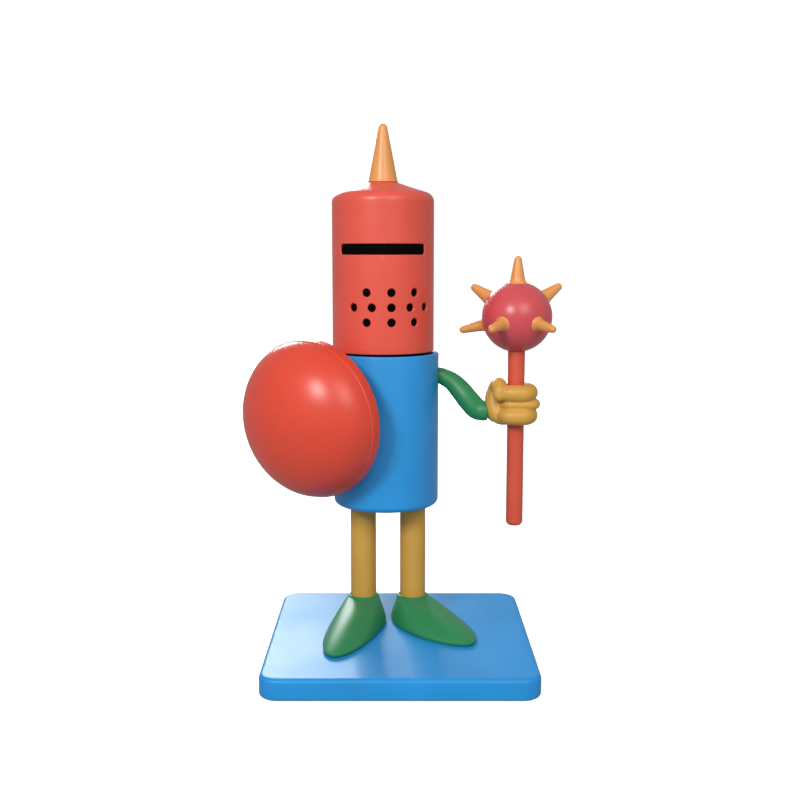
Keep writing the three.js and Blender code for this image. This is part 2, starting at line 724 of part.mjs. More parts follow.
function crest() {
  const seat = (radius) => roofHeight(radius, 0) + GAP;
  const flareR = CREST_R + CREST_FLARE;
  const coneLow = seat(CREST_R) + CREST_FLARE_HIGH;
  const coneTop = coneLow + CREST_LONG;
  const pegLow = nutTop() - NUT_THICK - PEG_END;
  const slant = Math.atan((CREST_R - CREST_TIP_R) / CREST_LONG);
  const tipCentre = coneTop - CREST_TIP_R * Math.tan(slant);
  const tip = arc(0, tipCentre, CREST_TIP_R / Math.cos(slant), slant, Math.PI / 2, 4);
  const profile = [
    [0, pegLow],
    [CREST_PEG_R, pegLow],
    [CREST_PEG_R, seat(CREST_PEG_R)],
    [flareR, seat(flareR)],
    [flareR - CREST_FLARE * 0.7, seat(flareR) + CREST_FLARE],
    [CREST_R, coneLow],
    ...tip.slice(0, -1),
    [0, tipCentre + CREST_TIP_R / Math.cos(slant)],
  ];
  return turned(profile, MID_SIDES);
}

function helmetPieces() {
  return groupAt(
    HELMET_X,
    FIGURE_Y,
    HELMET_LOW,
    meshOf("helmet_shell", helmetShell(), "coral"),
    meshOf("helmet_plug", helmetPlug(), "black"),
    meshOf("helmet_liner", helmetLiner(), "black"),
    meshOf("helmet_crest", crest(), "gold"),
    meshOf("helmet_crest_nut", crestNut(), "steel"),
  );
}

// ================= Arms =================

// How far the clip's outer face lies inside the body's widest point: its rim has to clear a round wall.
function clipInset() {
  const inner = BODY_R - BODY_WALL;
  return BODY_R - Math.sqrt(inner ** 2 - CLIP_R ** 2) + GAP;
}

// The shoulder peg along +X, from its free end inside the body to the arm.
function shoulderPeg() {
  const grooveEnd = -clipInset() + GAP;
  const grooveStart = grooveEnd - CLIP_THICK - 2 * GAP;
  return joined([
    rodAlongX(ARM_PEG_R, grooveStart - PEG_END, grooveStart),
    rodAlongX(CLIP_GROOVE_R, grooveStart - PEG_END / 2, grooveEnd + PEG_END / 2),
    rodAlongX(ARM_PEG_R, grooveEnd, ARM_R / 2),
  ]);
}

// The wrist peg along +X from the end of an arm: a neck and a wider head that snaps into the fist.
function wristPeg() {
  return joined([
    rodAlongX(WRIST_NECK_R, -ARM_R / 2, WRIST_NECK_LONG + WRIST_HEAD_LONG / 2),
    rodAlongX(WRIST_HEAD_R, WRIST_NECK_LONG, WRIST_NECK_LONG + WRIST_HEAD_LONG),
  ]);
}

// An arm with its shoulder peg. side is +1 where the arm leaves the body along +X, and -1 along -X.
function arm(line, side, wristTurn) {
  const far = BODY_R;
  const keepOut = block(far, far, far, side * (GAP - far / 2), 0, 0);
  const limb = tube(line, ARM_R, 10, 12).subtract(keepOut);
  const peg = side > 0 ? shoulderPeg() : shoulderPeg().rotate([0, 0, 180]);
  const end = line[line.length - 1];
  return joined([limb, peg, moved(wristPeg().rotate(wristTurn), ...end)]);
}

function armClip(side) {
  const hole = rodAlongX(CLIP_GROOVE_R + GAP, -CLIP_THICK - OVERRUN, OVERRUN);
  const disc = rodAlongX(CLIP_R, -CLIP_THICK, 0, MID_SIDES);
  const mouth = block(3 * CLIP_THICK, CLIP_MOUTH, CLIP_R + OVERRUN, 0, 0, -(CLIP_R + OVERRUN) / 2);
  const clip = moved(cutBy(disc, [hole, mouth]), -clipInset(), 0, 0);
  return side > 0 ? clip : clip.rotate([0, 0, 180]);
}

// ================= Fists =================

// A closed fist. The wrist comes in along +X at the origin, the grip runs along Z and the fingers
// wrap round the front of it, on -Y. hand is +1 with the thumb on top, and -1 for the mirrored fist.
function fist(hand, gripR) {
  const gripY = -GRIP_FORWARD;
  const middle = (FIST_LOW + FIST_HIGH) / 2;
  const palmRadii = [PALM_WIDE, PALM_THICK + 1, (FIST_HIGH - FIST_LOW) / 2 - GAP];
  const palmAt = [GRIP_AT - 1.2, gripY + gripR + PALM_THICK / 2, middle];
  const palm = ellipsoid(palmRadii, palmAt, 10, 6);
  const heel = ellipsoid(HEEL_RADII, [HEEL_RADII[0], 0, middle - 0.6], 10, 6);
  const fingers = FINGERS.map(({ high, r, out }) => {
    const front = gripY - gripR - r * FINGER_STRETCH;
    const line = [
      [GRIP_AT - 5.6, front + 2, high],
      [GRIP_AT - 3.4, front + 0.2, high],
      [GRIP_AT + 2, front - 0.2, high],
      [GRIP_AT + 4.4 + out, front + 2.6, high],
      [GRIP_AT + 5.2 + out, gripY + 1.5, high],
      [GRIP_AT + 3.4 + out, gripY + 5, high],
    ];
    return tube(line, r, 6, 7);
  });
  const thumbLine = [
    [4.6, 2.5, FIST_HIGH - 3.4],
    [4.4, -1.5, FIST_HIGH],
    [5.4, -4.6, FIST_HIGH - 0.4],
    [5.8, -7, FIST_HIGH - 3.8],
  ];
  const thumb = tube(thumbLine, THUMB_R, 4, 7);
  const bore = moved(rod(gripR + GAP, FIST_LOW - 9, FIST_HIGH + 9, MID_SIDES), GRIP_AT, gripY);
  const neckSocket = rodAlongX(WRIST_NECK_R + GAP, -OVERRUN - ARM_R, WRIST_NECK_LONG);
  const headRoom = WRIST_NECK_LONG + WRIST_HEAD_LONG + GAP;
  const headSocket = rodAlongX(WRIST_HEAD_R + GAP, WRIST_NECK_LONG - GAP, headRoom);
  const wristFace = block(20, 40, 40, GAP - 10, 0, 0);
  const whole = joined([palm, heel, thumb, ...fingers]);
  const made = cutBy(whole, [bore, neckSocket, headSocket, wristFace]);
  return hand > 0 ? made : made.mirror([0, 0, 1]);
}

// ================= Mace =================

// Heights here are above the ball's middle.
function shaftProfile() {
  const seat = -BALL_R + BALL_SEAT;
  const low = -BALL_R - SHAFT_HIGH - SHAFT_LOW;
  const neckTop = seat + BALL_NECK_LONG;
  const barbTop = neckTop + BALL_BARB_LONG;
  return [
    [0, low],
    [SHAFT_R - SHAFT_CHAMFER, low],
    [SHAFT_R, low + SHAFT_CHAMFER],
    [SHAFT_R, seat],
    [BALL_NECK_R, seat],
    [BALL_NECK_R, neckTop],
    [BALL_BARB_R, neckTop],
    [BALL_NECK_R - GAP, barbTop],
    [0, barbTop],
  ];
}

// Turns a solid that points along +Z to a direction given by azimuth and elevation.
function aimed(solid, { azimuth, elevation }) {
  return solid.rotate([90 - elevation, 0, 0]).rotate([0, 0, azimuth]);
}

function maceBall() {
  const ball = ellipsoid([BALL_R, BALL_R, BALL_R], [0, 0, 0], 20, 12);
  const seat = -BALL_R + BALL_SEAT + GAP;
  const neckTop = seat - GAP + BALL_NECK_LONG - GAP;
  const chamberTop = neckTop + BALL_BARB_LONG + 2 * GAP;
  const pegHole = rod(SPIKE_PEG_R + GAP, BALL_R - SPIKE_PEG_LONG - GAP, BALL_R + OVERRUN, 6);
  return cutBy(ball, [
    rod(SHAFT_R + GAP, -BALL_R - OVERRUN, seat, MID_SIDES),
    rod(BALL_NECK_R + GAP, seat - GAP, chamberTop),
    rod(BALL_BARB_R + GAP, neckTop, chamberTop),
    ...SPIKES.map((place) => aimed(pegHole, place)),
  ]);
}

function spike({ foot, waist, tip }) {
  const low = BALL_R + GAP;
  const bluntAt = SPIKE_REACH - tip;
  const profile = [
    [0, BALL_R - SPIKE_PEG_LONG],
    [SPIKE_PEG_R, BALL_R - SPIKE_PEG_LONG],
    [SPIKE_PEG_R, low],
    [foot, low],
    [waist, low + SPIKE_WAIST],
    [tip, bluntAt],
    [tip * 0.7, bluntAt + tip * 0.7],
    [0, SPIKE_REACH],
  ];
  return turned(profile, SMALL_SIDES);
}

function macePieces(gripX, gripY, gripZ) {
  const spikes = SPIKES.map((place, i) =>
    meshOf(`mace_spike_${i + 1}`, aimed(spike(place), place), "gold"),
  );
  return groupAt(
    gripX,
    gripY,
    gripZ + SHAFT_HIGH + BALL_R,
    meshOf("mace_shaft", turned(shaftProfile(), MID_SIDES), "orange_red"),
    meshOf("mace_ball", maceBall(), "rose"),
    ...spikes,
  );
}

// ================= Shield =================

// The shield's own frame: +Z is the way it faces, +X runs level across it and +Y is up.
function shieldAxes() {
  const [sinYaw, cosYaw] = [Math.sin(SHIELD_YAW), Math.cos(SHIELD_YAW)];
  const [sinPitch, cosPitch] = [Math.sin(SHIELD_PITCH), Math.cos(SHIELD_PITCH)];
  const out = new THREE.Vector3(-sinYaw * cosPitch, -cosYaw * cosPitch, sinPitch);
  const along = new THREE.Vector3(cosYaw, -sinYaw, 0);
  return { along, up: new THREE.Vector3().crossVectors(out, along), out };
}

function ellipseArc(radius, height, base, steps) {
  return arc(0, 0, 1, 0, Math.PI / 2, steps).map(([x, y], i) => [
    i === steps ? 0 : radius * x,
    base + height * y,
  ]);
}

function shieldShell() {
  const rimInner = SHIELD_R - SHIELD_WALL;
  const inner = rimInner - SHIELD_LEDGE;
  const ledge = SHIELD_BACK_DEEP + SHIELD_BACK_THICK + GAP;
  const insideDome = SHIELD_DOME - SHIELD_WALL;
  const profile = [
    ...ellipseArc(inner, insideDome, SHIELD_BAND, 4).reverse(),
    [inner, ledge],
    [rimInner, ledge],
    [rimInner, 0],
    [SHIELD_R, 0],
    ...ellipseArc(SHIELD_R, SHIELD_DOME, SHIELD_BAND, 7),
  ];
  const boss = rod(HUB_BOSS_R, ledge, SHIELD_BAND + insideDome + SHIELD_WALL / 2, MID_SIDES);
  return turned(profile, BIG_SIDES).add(boss).subtract(rod(SCREW_R + GAP, 0, HUB_SCREW_LONG));
}

function shieldBack() {
  const outer = SHIELD_R - SHIELD_WALL - GAP;
  const low = SHIELD_BACK_DEEP;
  return ring(SCREW_R + GAP, outer, low, low + SHIELD_BACK_THICK, BIG_SIDES);
}

// Heights of the pieces stacked behind the shield's back, measured along the way it faces.
const HUB_WASHER_TOP = SHIELD_BACK_DEEP - GAP;
const HUB_WASHER_LOW = HUB_WASHER_TOP - WASHER_THICK;
const STRAP_TOP = HUB_WASHER_LOW - GAP;
const STRAP_LOW = STRAP_TOP - STRAP_THICK;

// The bracket in the fist: a strap that turns on the hub screw and a grip bar on two posts behind it.
function shieldHandle() {
  const { along, up, out } = GRIP_TO_HUB;
  const posts = [-along + BAR_INNER, -along - BAR_OUTER];
  const discs = [
    { x: 0, y: 0, radius: STRAP_HUB_R },
    ...posts.map((x) => ({ x, y: -up, radius: STRAP_END_R })),
  ];
  const corners = discs.flatMap(({ x, y, radius }) =>
    arc(x, y, radius, 0, 2 * Math.PI, MID_SIDES).flatMap(([px, py]) => [
      new THREE.Vector3(px, py, STRAP_LOW),
      new THREE.Vector3(px, py, STRAP_TOP),
    ]),
  );
  const strap = solidOf(new ConvexGeometry(corners));
  const middle = (STRAP_TOP + STRAP_LOW) / 2;
  const uprights = posts.map((x) => moved(rod(POST_R, -out, middle), x, -up));
  const [inner, outer] = posts;
  const bar = moved(rodAlongX(BAR_R, outer - POST_R, inner + POST_R), 0, -up, -out);
  const hubHole = rod(SCREW_R + GAP, STRAP_LOW - OVERRUN, STRAP_TOP + OVERRUN);
  return joined([strap, ...uprights, bar]).subtract(hubHole);
}

function shieldPieces(hub) {
  const { along, up, out } = shieldAxes();
  const washer = ring(SCREW_R + GAP, HUB_WASHER_R, HUB_WASHER_LOW, HUB_WASHER_TOP, MID_SIDES);
  const screw = meshOf("shield_hub_screw", panScrew(HUB_SCREW_LONG), "steel");
  screw.position.z = STRAP_LOW - GAP;
  const group = groupAt(
    ...hub,
    meshOf("shield_shell", shieldShell(), "orange_red"),
    meshOf("shield_back", shieldBack(), "orange_red"),
    meshOf("shield_hub_washer", washer, "natural"),
    meshOf("shield_handle", shieldHandle(), "black"),
    screw,
  );
  group.quaternion.setFromRotationMatrix(new THREE.Matrix4().makeBasis(along, up, out));
  return group;
}

// ================= Assembly =================

function maceSide() {
  const shoulder = [BODY_X + BODY_R, FIGURE_Y, SHOULDER_Z];
  const wrist = MACE_ARM_LINE[MACE_ARM_LINE.length - 1].map((value, i) => value + shoulder[i]);
  const armGroup = groupAt(
    ...shoulder,
    meshOf("mace_arm", arm(MACE_ARM_LINE, 1, [0, 0, 0]), "green"),
    meshOf("mace_arm_clip", armClip(1), "natural"),
  );
  const fistGroup = groupAt(...wrist, meshOf("mace_fist", fist(1, SHAFT_R), "ochre"));
  const [x, y, z] = wrist;
  return [armGroup, fistGroup, macePieces(x + GRIP_AT, y - GRIP_FORWARD, z + FIST_MIDDLE)];
}

function shieldSide() {
  const { along, up, out } = shieldAxes();
  const shoulder = [BODY_X - BODY_R, FIGURE_Y, SHOULDER_Z];
  const wrist = SHIELD_ARM_LINE[SHIELD_ARM_LINE.length - 1].map((value, i) => value + shoulder[i]);
  const armGroup = groupAt(
    ...shoulder,
    meshOf("shield_arm", arm(SHIELD_ARM_LINE, -1, [0, 90, 0]), "green"),
    meshOf("shield_arm_clip", armClip(-1), "natural"),
  );
  // The fist hangs from the wrist with its grip level and its fingers towards the shield.
  const down = new THREE.Vector3(0, 0, -1);
  const level = along.clone();
  const away = new THREE.Vector3().crossVectors(level, down);
  const fistGroup = groupAt(...wrist, meshOf("shield_fist", fist(-1, BAR_R), "ochre"));
  fistGroup.quaternion.setFromRotationMatrix(new THREE.Matrix4().makeBasis(down, away, level));
  const hub = new THREE.Vector3(...wrist)
    .addScaledVector(down, GRIP_AT)
    .addScaledVector(away, -GRIP_FORWARD)
    .addScaledVector(along, GRIP_TO_HUB.along)
    .addScaledVector(up, GRIP_TO_HUB.up)
    .addScaledVector(out, GRIP_TO_HUB.out);
  return [armGroup, fistGroup, shieldPieces(hub.toArray())];
}

const figurine = new THREE.Group();
figurine.add(
  ...basePieces(),
  ...legPlaces.map(legPieces),
  bodyPieces(),
  helmetPieces(),
  ...maceSide(),
  ...shieldSide(),
);

export default figurine;
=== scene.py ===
"""A glossy toy knight figurine on a square display base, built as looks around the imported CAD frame.

Every visible piece of the object is a fine mesh built here: turned pieces from rounded profiles, bent arms
from swept tubes, shoes from lofted outlines and fists from joined finger rolls. Lengths are in metres.
The figure faces -Y, the mace hand is on +X and the shield is on -X.
"""
import json
import math

import bmesh
import bpy
from mathutils import Matrix, Vector


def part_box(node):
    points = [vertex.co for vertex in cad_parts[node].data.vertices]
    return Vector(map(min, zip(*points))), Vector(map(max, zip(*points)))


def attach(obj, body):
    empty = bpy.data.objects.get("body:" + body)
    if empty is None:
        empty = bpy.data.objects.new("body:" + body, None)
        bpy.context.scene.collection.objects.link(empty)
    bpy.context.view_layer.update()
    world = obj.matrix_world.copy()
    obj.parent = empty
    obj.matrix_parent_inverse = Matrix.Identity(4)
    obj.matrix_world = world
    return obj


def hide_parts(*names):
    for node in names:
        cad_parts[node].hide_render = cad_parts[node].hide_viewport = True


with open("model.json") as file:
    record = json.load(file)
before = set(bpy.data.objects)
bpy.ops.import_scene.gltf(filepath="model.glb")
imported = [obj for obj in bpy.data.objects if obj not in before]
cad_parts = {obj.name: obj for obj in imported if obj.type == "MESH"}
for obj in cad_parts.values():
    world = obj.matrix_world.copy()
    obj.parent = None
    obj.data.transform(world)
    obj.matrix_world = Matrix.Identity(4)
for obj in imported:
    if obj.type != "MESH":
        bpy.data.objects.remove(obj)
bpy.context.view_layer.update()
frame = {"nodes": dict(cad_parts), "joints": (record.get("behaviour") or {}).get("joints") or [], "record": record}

MM = 0.001
FULL_TURN = 2 * math.pi
JOINTS = {joint["name"]: joint for joint in frame["joints"]}

# How finely round things are divided.
BIG_SIDES = 144
MID_SIDES = 64
SMALL_SIDES = 32
SHARP_ANGLE = math.radians(32)

# ---- places read from the frame ----


def box_centre(node):
    low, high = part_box(node)
    return (low + high) / 2


def box_radius(node):
    """Half of a turned node's width across X, in millimetres."""
    low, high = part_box(node)
    return (high.x - low.x) / 2 / MM


def box_heights(node):
    """Where a node starts and ends along Z, in millimetres."""
    low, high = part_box(node)
    return low.z / MM, high.z / MM


def upright(node, z=0.0):
    """A place on a node's upright middle axis, at the height z in metres."""
    middle = box_centre(node)
    return at(middle.x, middle.y, z)


def joint_place(name):
    return Vector(JOINTS[name]["pos_m"])


def joint_at(name):
    return at(*joint_place(name))


# ---- mesh helpers ----


def add_object(name, data):
    made = bpy.data.objects.new(name, data)
    bpy.context.scene.collection.objects.link(made)
    return made


def mesh_object(name, bm):
    """Puts an object into the scene with the bmesh as its mesh, and frees the bmesh."""
    mesh = bpy.data.meshes.new(name)
    bm.to_mesh(mesh)
    bm.free()
    return add_object(name, mesh)


def looks_for(node, bm, slot, body):
    """Makes the smooth shaded piece that stands for a CAD node and rides on a body."""
    bmesh.ops.recalc_face_normals(bm, faces=bm.faces[:])
    piece = mesh_object(node + "_visual", bm)
    shade(piece)
    finish_piece(piece, slot, body, node)
    return piece


def shade(piece, angle=SHARP_ANGLE):
    """Smooth shading with hard lines only where two faces meet at more than the angle."""
    mesh = piece.data
    bm = bmesh.new()
    bm.from_mesh(mesh)
    for face in bm.faces:
        face.smooth = True
    for edge in bm.edges:
        edge.smooth = not (edge.is_manifold and edge.calc_face_angle(0.0) > angle)
    bm.to_mesh(mesh)
    bm.free()


def turned(node, line, sides, place, slot, body):
    """Makes the looks of a node that is turned from one profile."""
    bm = bmesh.new()
    spin(bm, line, sides, place)
    return looks_for(node, bm, slot, body)


def finish_piece(piece, slot, body, node):
    piece.data.materials.clear()
    piece.data.materials.append(FINISH[slot])
    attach(piece, body)
    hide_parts(node)


def rounded(corners, steps=5):
    """A profile through (radius, height, fillet) corners in millimetres, with each fillet as an arc."""
    line = []
    count = len(corners)
    for i, corner in enumerate(corners):
        here = Vector(corner[:2])
        fillet = corner[2] if len(corner) > 2 else 0
        if not fillet or i in (0, count - 1):
            line.append(here)
            continue
        before = Vector(corners[i - 1][:2]) - here
        after = Vector(corners[i + 1][:2]) - here
        half = before.angle(after) / 2
        reach = min(fillet / math.tan(half), before.length * 0.49, after.length * 0.49)
        radius = reach * math.tan(half)
        bisector = (before.normalized() + after.normalized()).normalized()
        middle = here + bisector * (radius / math.sin(half))
        start = here + before.normalized() * reach - middle
        end = here + after.normalized() * reach - middle
        sweep = start.angle_signed(end)
        for k in range(steps + 1):
            angle = -sweep * k / steps
            cos, sin = math.cos(angle), math.sin(angle)
            line.append(middle + Vector((start.x * cos - start.y * sin, start.x * sin + start.y * cos)))
    return line


def join_rings(bm, rings):
    """Faces between rings of points that follow each other. A ring of one point closes an end."""
    for first, second in zip(rings, rings[1:]):
        count = max(len(first), len(second))
        if count == 1:
            continue
        for j in range(count):
            following = (j + 1) % count
            if len(first) == 1:
                bm.faces.new((first[0], second[following], second[j]))
            elif len(second) == 1:
                bm.faces.new((first[j], first[following], second[0]))
            else:
                bm.faces.new((first[j], first[following], second[following], second[j]))


def spin(bm, line, sides, place=None):
    """Turns a profile of (radius, height) points in millimetres about Z and adds it to the bmesh."""
    rings = []
    for radius, height in line:
        if radius < 1e-6:
            rings.append([bm.verts.new((0, 0, height * MM))])
            continue
        ring = []
        for k in range(sides):
            angle = FULL_TURN * k / sides
            ring.append(
                bm.verts.new((radius * MM * math.cos(angle), radius * MM * math.sin(angle), height * MM))
            )
        rings.append(ring)
    join_rings(bm, rings)
    made = [vert for ring in rings for vert in ring]
    if place is not None:
        bmesh.ops.transform(bm, matrix=place, verts=made)
    return made


def plug_line(radius, foot, top):
    """The profile of a plain cylinder."""
    return [(0, foot), (radius, foot), (radius, top), (0, top)]


def ring_line(inner, outer, foot, top, edge):
    """The profile of a ring with rounded edges, for spin_ring."""
    corners = [(outer, foot, edge), (outer, top, edge), (inner, top, edge), (inner, foot, edge)]
    return rounded([(inner, foot)] + corners, 3)[1:]


def spin_ring(bm, line, sides, place=None):
    """Like spin, for a profile that closes on itself."""
    made = spin(bm, list(line) + [line[0]], sides, place)
    bmesh.ops.remove_doubles(bm, verts=made, dist=1e-7)


def at(x, y, z):
    return Matrix.Translation((x, y, z))


def aim(direction):
    """A rotation that turns +Z to the direction."""
    return Vector((0, 0, 1)).rotation_difference(Vector(direction)).to_matrix().to_4x4()


def smooth_line(points, count):
    """A Catmull-Rom line through the points, as count + 1 evenly chosen places."""
    knots = [Vector(p) for p in points]
    knots = [2 * knots[0] - knots[1]] + knots + [2 * knots[-1] - knots[-2]]
    spans = len(knots) - 3
    line = []
    for i in range(count + 1):
        t = spans * i / count
        span = min(int(t), spans - 1)
        t -= span
        a, b, c, d = knots[span : span + 4]
        bend = 2 * a - 5 * b + 4 * c - d
        twist = 3 * b - a - 3 * c + d
        line.append(0.5 * (2 * b + (c - a) * t + bend * t * t + twist * t * t * t))
    return line


def sweep(bm, points, radii, steps, sides, place=None):
    """A tube with round ends along a smooth line. Points and radii are in millimetres."""
    line = smooth_line(points, steps)
    sizes = smooth_line([(r, 0, 0) for r in radii], steps)
    tangents = [(line[min(i + 1, steps)] - line[max(i - 1, 0)]).normalized() for i in range(steps + 1)]
    side = tangents[0].orthogonal().normalized()
    rings = []
    cap = 6
    stations = []
    for k in range(cap):
        angle = math.pi / 2 * k / cap
        stations.append((0, -math.cos(angle), math.sin(angle)))
    stations += [(i, 0, 1) for i in range(steps + 1)]
    for k in reversed(range(cap)):
        angle = math.pi / 2 * k / cap
        stations.append((steps, math.cos(angle), math.sin(angle)))
    for index, along, share in stations:
        tangent = tangents[index]
        side = (side - tangent * side.dot(tangent)).normalized()
        other = tangent.cross(side)
        radius = sizes[index].x
        middle = line[index] + tangent * along * radius
        if share < 1e-6:
            rings.append([bm.verts.new(middle * MM)])
            continue
        ring = []
        for j in range(sides):
            angle = FULL_TURN * j / sides
            out = side * math.cos(angle) + other * math.sin(angle)
            ring.append(bm.verts.new((middle + out * radius * share) * MM))
        rings.append(ring)
    join_rings(bm, rings)
    if place is not None:
        bmesh.ops.transform(bm, matrix=place, verts=[v for ring in rings for v in ring])


def blob(bm, radii, centre, place=None):
    """An ellipsoid, in millimetres."""
    made = bmesh.ops.create_icosphere(bm, subdivisions=4, radius=1)["verts"]
    matrix = Matrix.Translation(Vector(centre) * MM) @ Matrix.Diagonal([r * MM for r in radii] + [1])
    if place is not None:
        matrix = place @ matrix
    bmesh.ops.transform(bm, matrix=matrix, verts=made)


def apply_modifiers(piece):
    depsgraph = bpy.context.evaluated_depsgraph_get()
    baked = bpy.data.meshes.new_from_object(piece.evaluated_get(depsgraph))
    old = piece.data
    piece.modifiers.clear()
    piece.data = baked
    bpy.data.meshes.remove(old)


def boolean(piece, bm, operation="DIFFERENCE"):
    """Cuts or joins a piece with the closed shapes in the bmesh."""
    bmesh.ops.recalc_face_normals(bm, faces=bm.faces[:])
    tool = mesh_object("tool", bm)
    step = piece.modifiers.new("cut", "BOOLEAN")
    step.operation = operation
    step.solver = "EXACT"
    step.use_self = True
    step.object = tool
    apply_modifiers(piece)
    mesh = tool.data
    bpy.data.objects.remove(tool)
    bpy.data.meshes.remove(mesh)
    shade(piece)


# ---- materials ----

# Each paint's colour as linear RGB, and its roughness.
PAINTS = {
    "blue_paint": ((0.019, 0.29, 0.68), 0.40),
    "coral_paint": ((0.75, 0.088, 0.055), 0.36),
    "orange_red_paint": ((0.72, 0.062, 0.030), 0.32),
    "rose_paint": ((0.62, 0.075, 0.085), 0.30),
    "ochre_paint": ((0.64, 0.338, 0.052), 0.42),
    "gold_paint": ((0.77, 0.325, 0.088), 0.36),
    "green_paint": ((0.022, 0.235, 0.080), 0.42),
}


class Nodes:
    """Short calls for building a material's node tree."""

    def __init__(self, name):
        self.material = bpy.data.materials.new(name)
        self.material.use_nodes = True
        self.tree = self.material.node_tree
        self.shader = self.tree.nodes["Principled BSDF"]

    def add(self, kind, settings=None, **inputs):
        node = self.tree.nodes.new(kind)
        for key, value in (settings or {}).items():
            setattr(node, key, value)
        for key, value in inputs.items():
            self.feed(node.inputs[key.replace("_", " ")], value)
        return node

    def feed(self, socket, value):
        if isinstance(value, bpy.types.NodeSocket):
            self.tree.links.new(value, socket)
        else:
            socket.default_value = value

    def look(self, name, value):
        """Feeds one of the shader's own sockets."""
        self.feed(self.shader.inputs[name], value)

    def noise(self, scale, detail=3.0, roughness=0.5):
        coords = self.tree.nodes.get("coords") or self.add("ShaderNodeTexCoord", {"name": "coords"})
        node = self.add("ShaderNodeTexNoise", Scale=scale, Detail=detail, Roughness=roughness)
        self.feed(node.inputs["Vector"], coords.outputs["Object"])
        return node.outputs["Fac"]

    def ranged(self, value, low, high, new_low, new_high):
        node = self.add("ShaderNodeMapRange")
        self.feed(node.inputs["Value"], value)
        node.inputs["From Min"].default_value = low
        node.inputs["From Max"].default_value = high
        node.inputs["To Min"].default_value = new_low
        node.inputs["To Max"].default_value = new_high
        return node.outputs["Result"]

    def mix(self, share, first, second, blend="MIX"):
        node = self.add("ShaderNodeMix", {"data_type": "RGBA", "blend_type": blend})
        self.feed(node.inputs[0], share)
        self.feed(node.inputs[6], first)
        self.feed(node.inputs[7], second)
        return node.outputs[2]

    def times(self, first, second, operation="MULTIPLY"):
        node = self.add("ShaderNodeMath", {"operation": operation})
        self.feed(node.inputs[0], first)
        self.feed(node.inputs[1], second)
        return node.outputs[0]

    def bump(self, height, distance, strength, normal=None):
        node = self.add("ShaderNodeBump", Strength=strength, Distance=distance)
        self.feed(node.inputs["Height"], height)
        if normal is not None:
            self.feed(node.inputs["Normal"], normal)
        return node.outputs["Normal"]


def shifted(colour, factor, towards=0.0):
    """A colour made lighter or darker, and moved a little towards grey."""
    grey = sum(colour) / 3
    return tuple(min(1.0, (c + (grey - c) * towards) * factor) for c in colour) + (1.0,)


def paint(name, colour, roughness, shine=0.5):
    """Sprayed paint over smooth vinyl: faint mottling, orange peel, and edges rubbed a little paler."""
    n = Nodes(name)
    n.look("Specular IOR Level", shine)
    cloud = n.ranged(n.noise(38.0, 4.0, 0.55), 0.32, 0.68, 0.0, 1.0)
    body = n.mix(cloud, shifted(colour, 0.94), shifted(colour, 1.06))
    speck = n.ranged(n.noise(900.0, 2.0, 0.6), 0.60, 0.78, 0.0, 0.10)
    body = n.mix(speck, body, shifted(colour, 0.72))
    geometry = n.add("ShaderNodeNewGeometry")
    edge = n.ranged(geometry.outputs["Pointiness"], 0.53, 0.60, 0.0, 1.0)
    broken = n.ranged(n.noise(160.0, 5.0, 0.7), 0.42, 0.62, 0.0, 1.0)
    worn = n.times(n.times(edge, broken), 0.30)
    n.look("Base Color", n.mix(worn, body, shifted(colour, 1.35, 0.25)))
    handled = n.ranged(n.noise(22.0, 5.0, 0.6), 0.30, 0.72, roughness - 0.035, roughness + 0.055)
    n.look("Roughness", handled)
    peel = n.bump(n.noise(700.0, 2.0, 0.45), 0.00002, 0.20)
    wave = n.bump(n.noise(60.0, 1.0, 0.3), 0.00010, 0.12, peel)
    n.look("Normal", wave)
    return n.material


def moulded(name, colour, roughness, grain, shine=0.5):
    """Bare moulded plastic with a fine spark-eroded grain."""
    n = Nodes(name)
    n.look("Specular IOR Level", shine)
    cloud = n.noise(45.0, 3.0)
    n.look("Base Color", n.mix(cloud, shifted(colour, 0.85), shifted(colour, 1.15)))
    uneven = n.ranged(n.noise(60.0, 4.0), 0.3, 0.7, roughness - 0.06, roughness + 0.06)
    n.look("Roughness", uneven)
    n.look("Normal", n.bump(n.noise(grain, 3.0, 0.6), 0.00006, 0.5))
    return n.material


def foam_sheet(name):
    """Closed-cell foam: small pores of different sizes."""
    n = Nodes(name)
    coords = n.add("ShaderNodeTexCoord")
    cells = n.add("ShaderNodeTexVoronoi", Scale=1100.0)
    n.feed(cells.inputs["Vector"], coords.outputs["Object"])
    pores = n.ranged(cells.outputs["Distance"], 0.05, 0.45, 0.0, 1.0)
    n.look("Base Color", n.mix(pores, (0.004, 0.004, 0.004, 1), (0.022, 0.022, 0.024, 1)))
    n.look("Roughness", n.ranged(n.noise(80.0), 0.3, 0.7, 0.86, 0.97))
    n.look("Normal", n.bump(pores, 0.00015, 0.8))
    return n.material


def plated_steel(name):
    """Zinc plated steel with turning marks and slightly uneven shine."""
    n = Nodes(name)
    spots = n.noise(300.0, 4.0)
    n.look("Base Color", n.mix(spots, (0.48, 0.49, 0.50, 1), (0.66, 0.66, 0.65, 1)))
    n.look("Roughness", n.ranged(n.noise(520.0, 3.0), 0.3, 0.7, 0.24, 0.40))
    n.look("Normal", n.bump(n.noise(1500.0, 2.0), 0.00002, 0.4))
    n.look("Metallic", 1.0)
    return n.material


def plain_floor(name):
    """The pale studio's matt surface, which glows a little so that it stays near white."""
    n = Nodes(name)
    cloud = n.noise(3.0, 2.0)
    n.look("Base Color", n.mix(cloud, (0.93, 0.93, 0.93, 1), (0.95, 0.95, 0.95, 1)))
    n.look("Roughness", 0.9)
    n.look("Specular IOR Level", 0.0)
    n.look("Emission Color", (1.0, 1.0, 1.0, 1))
    n.look("Emission Strength", 0.70)
    return n.material


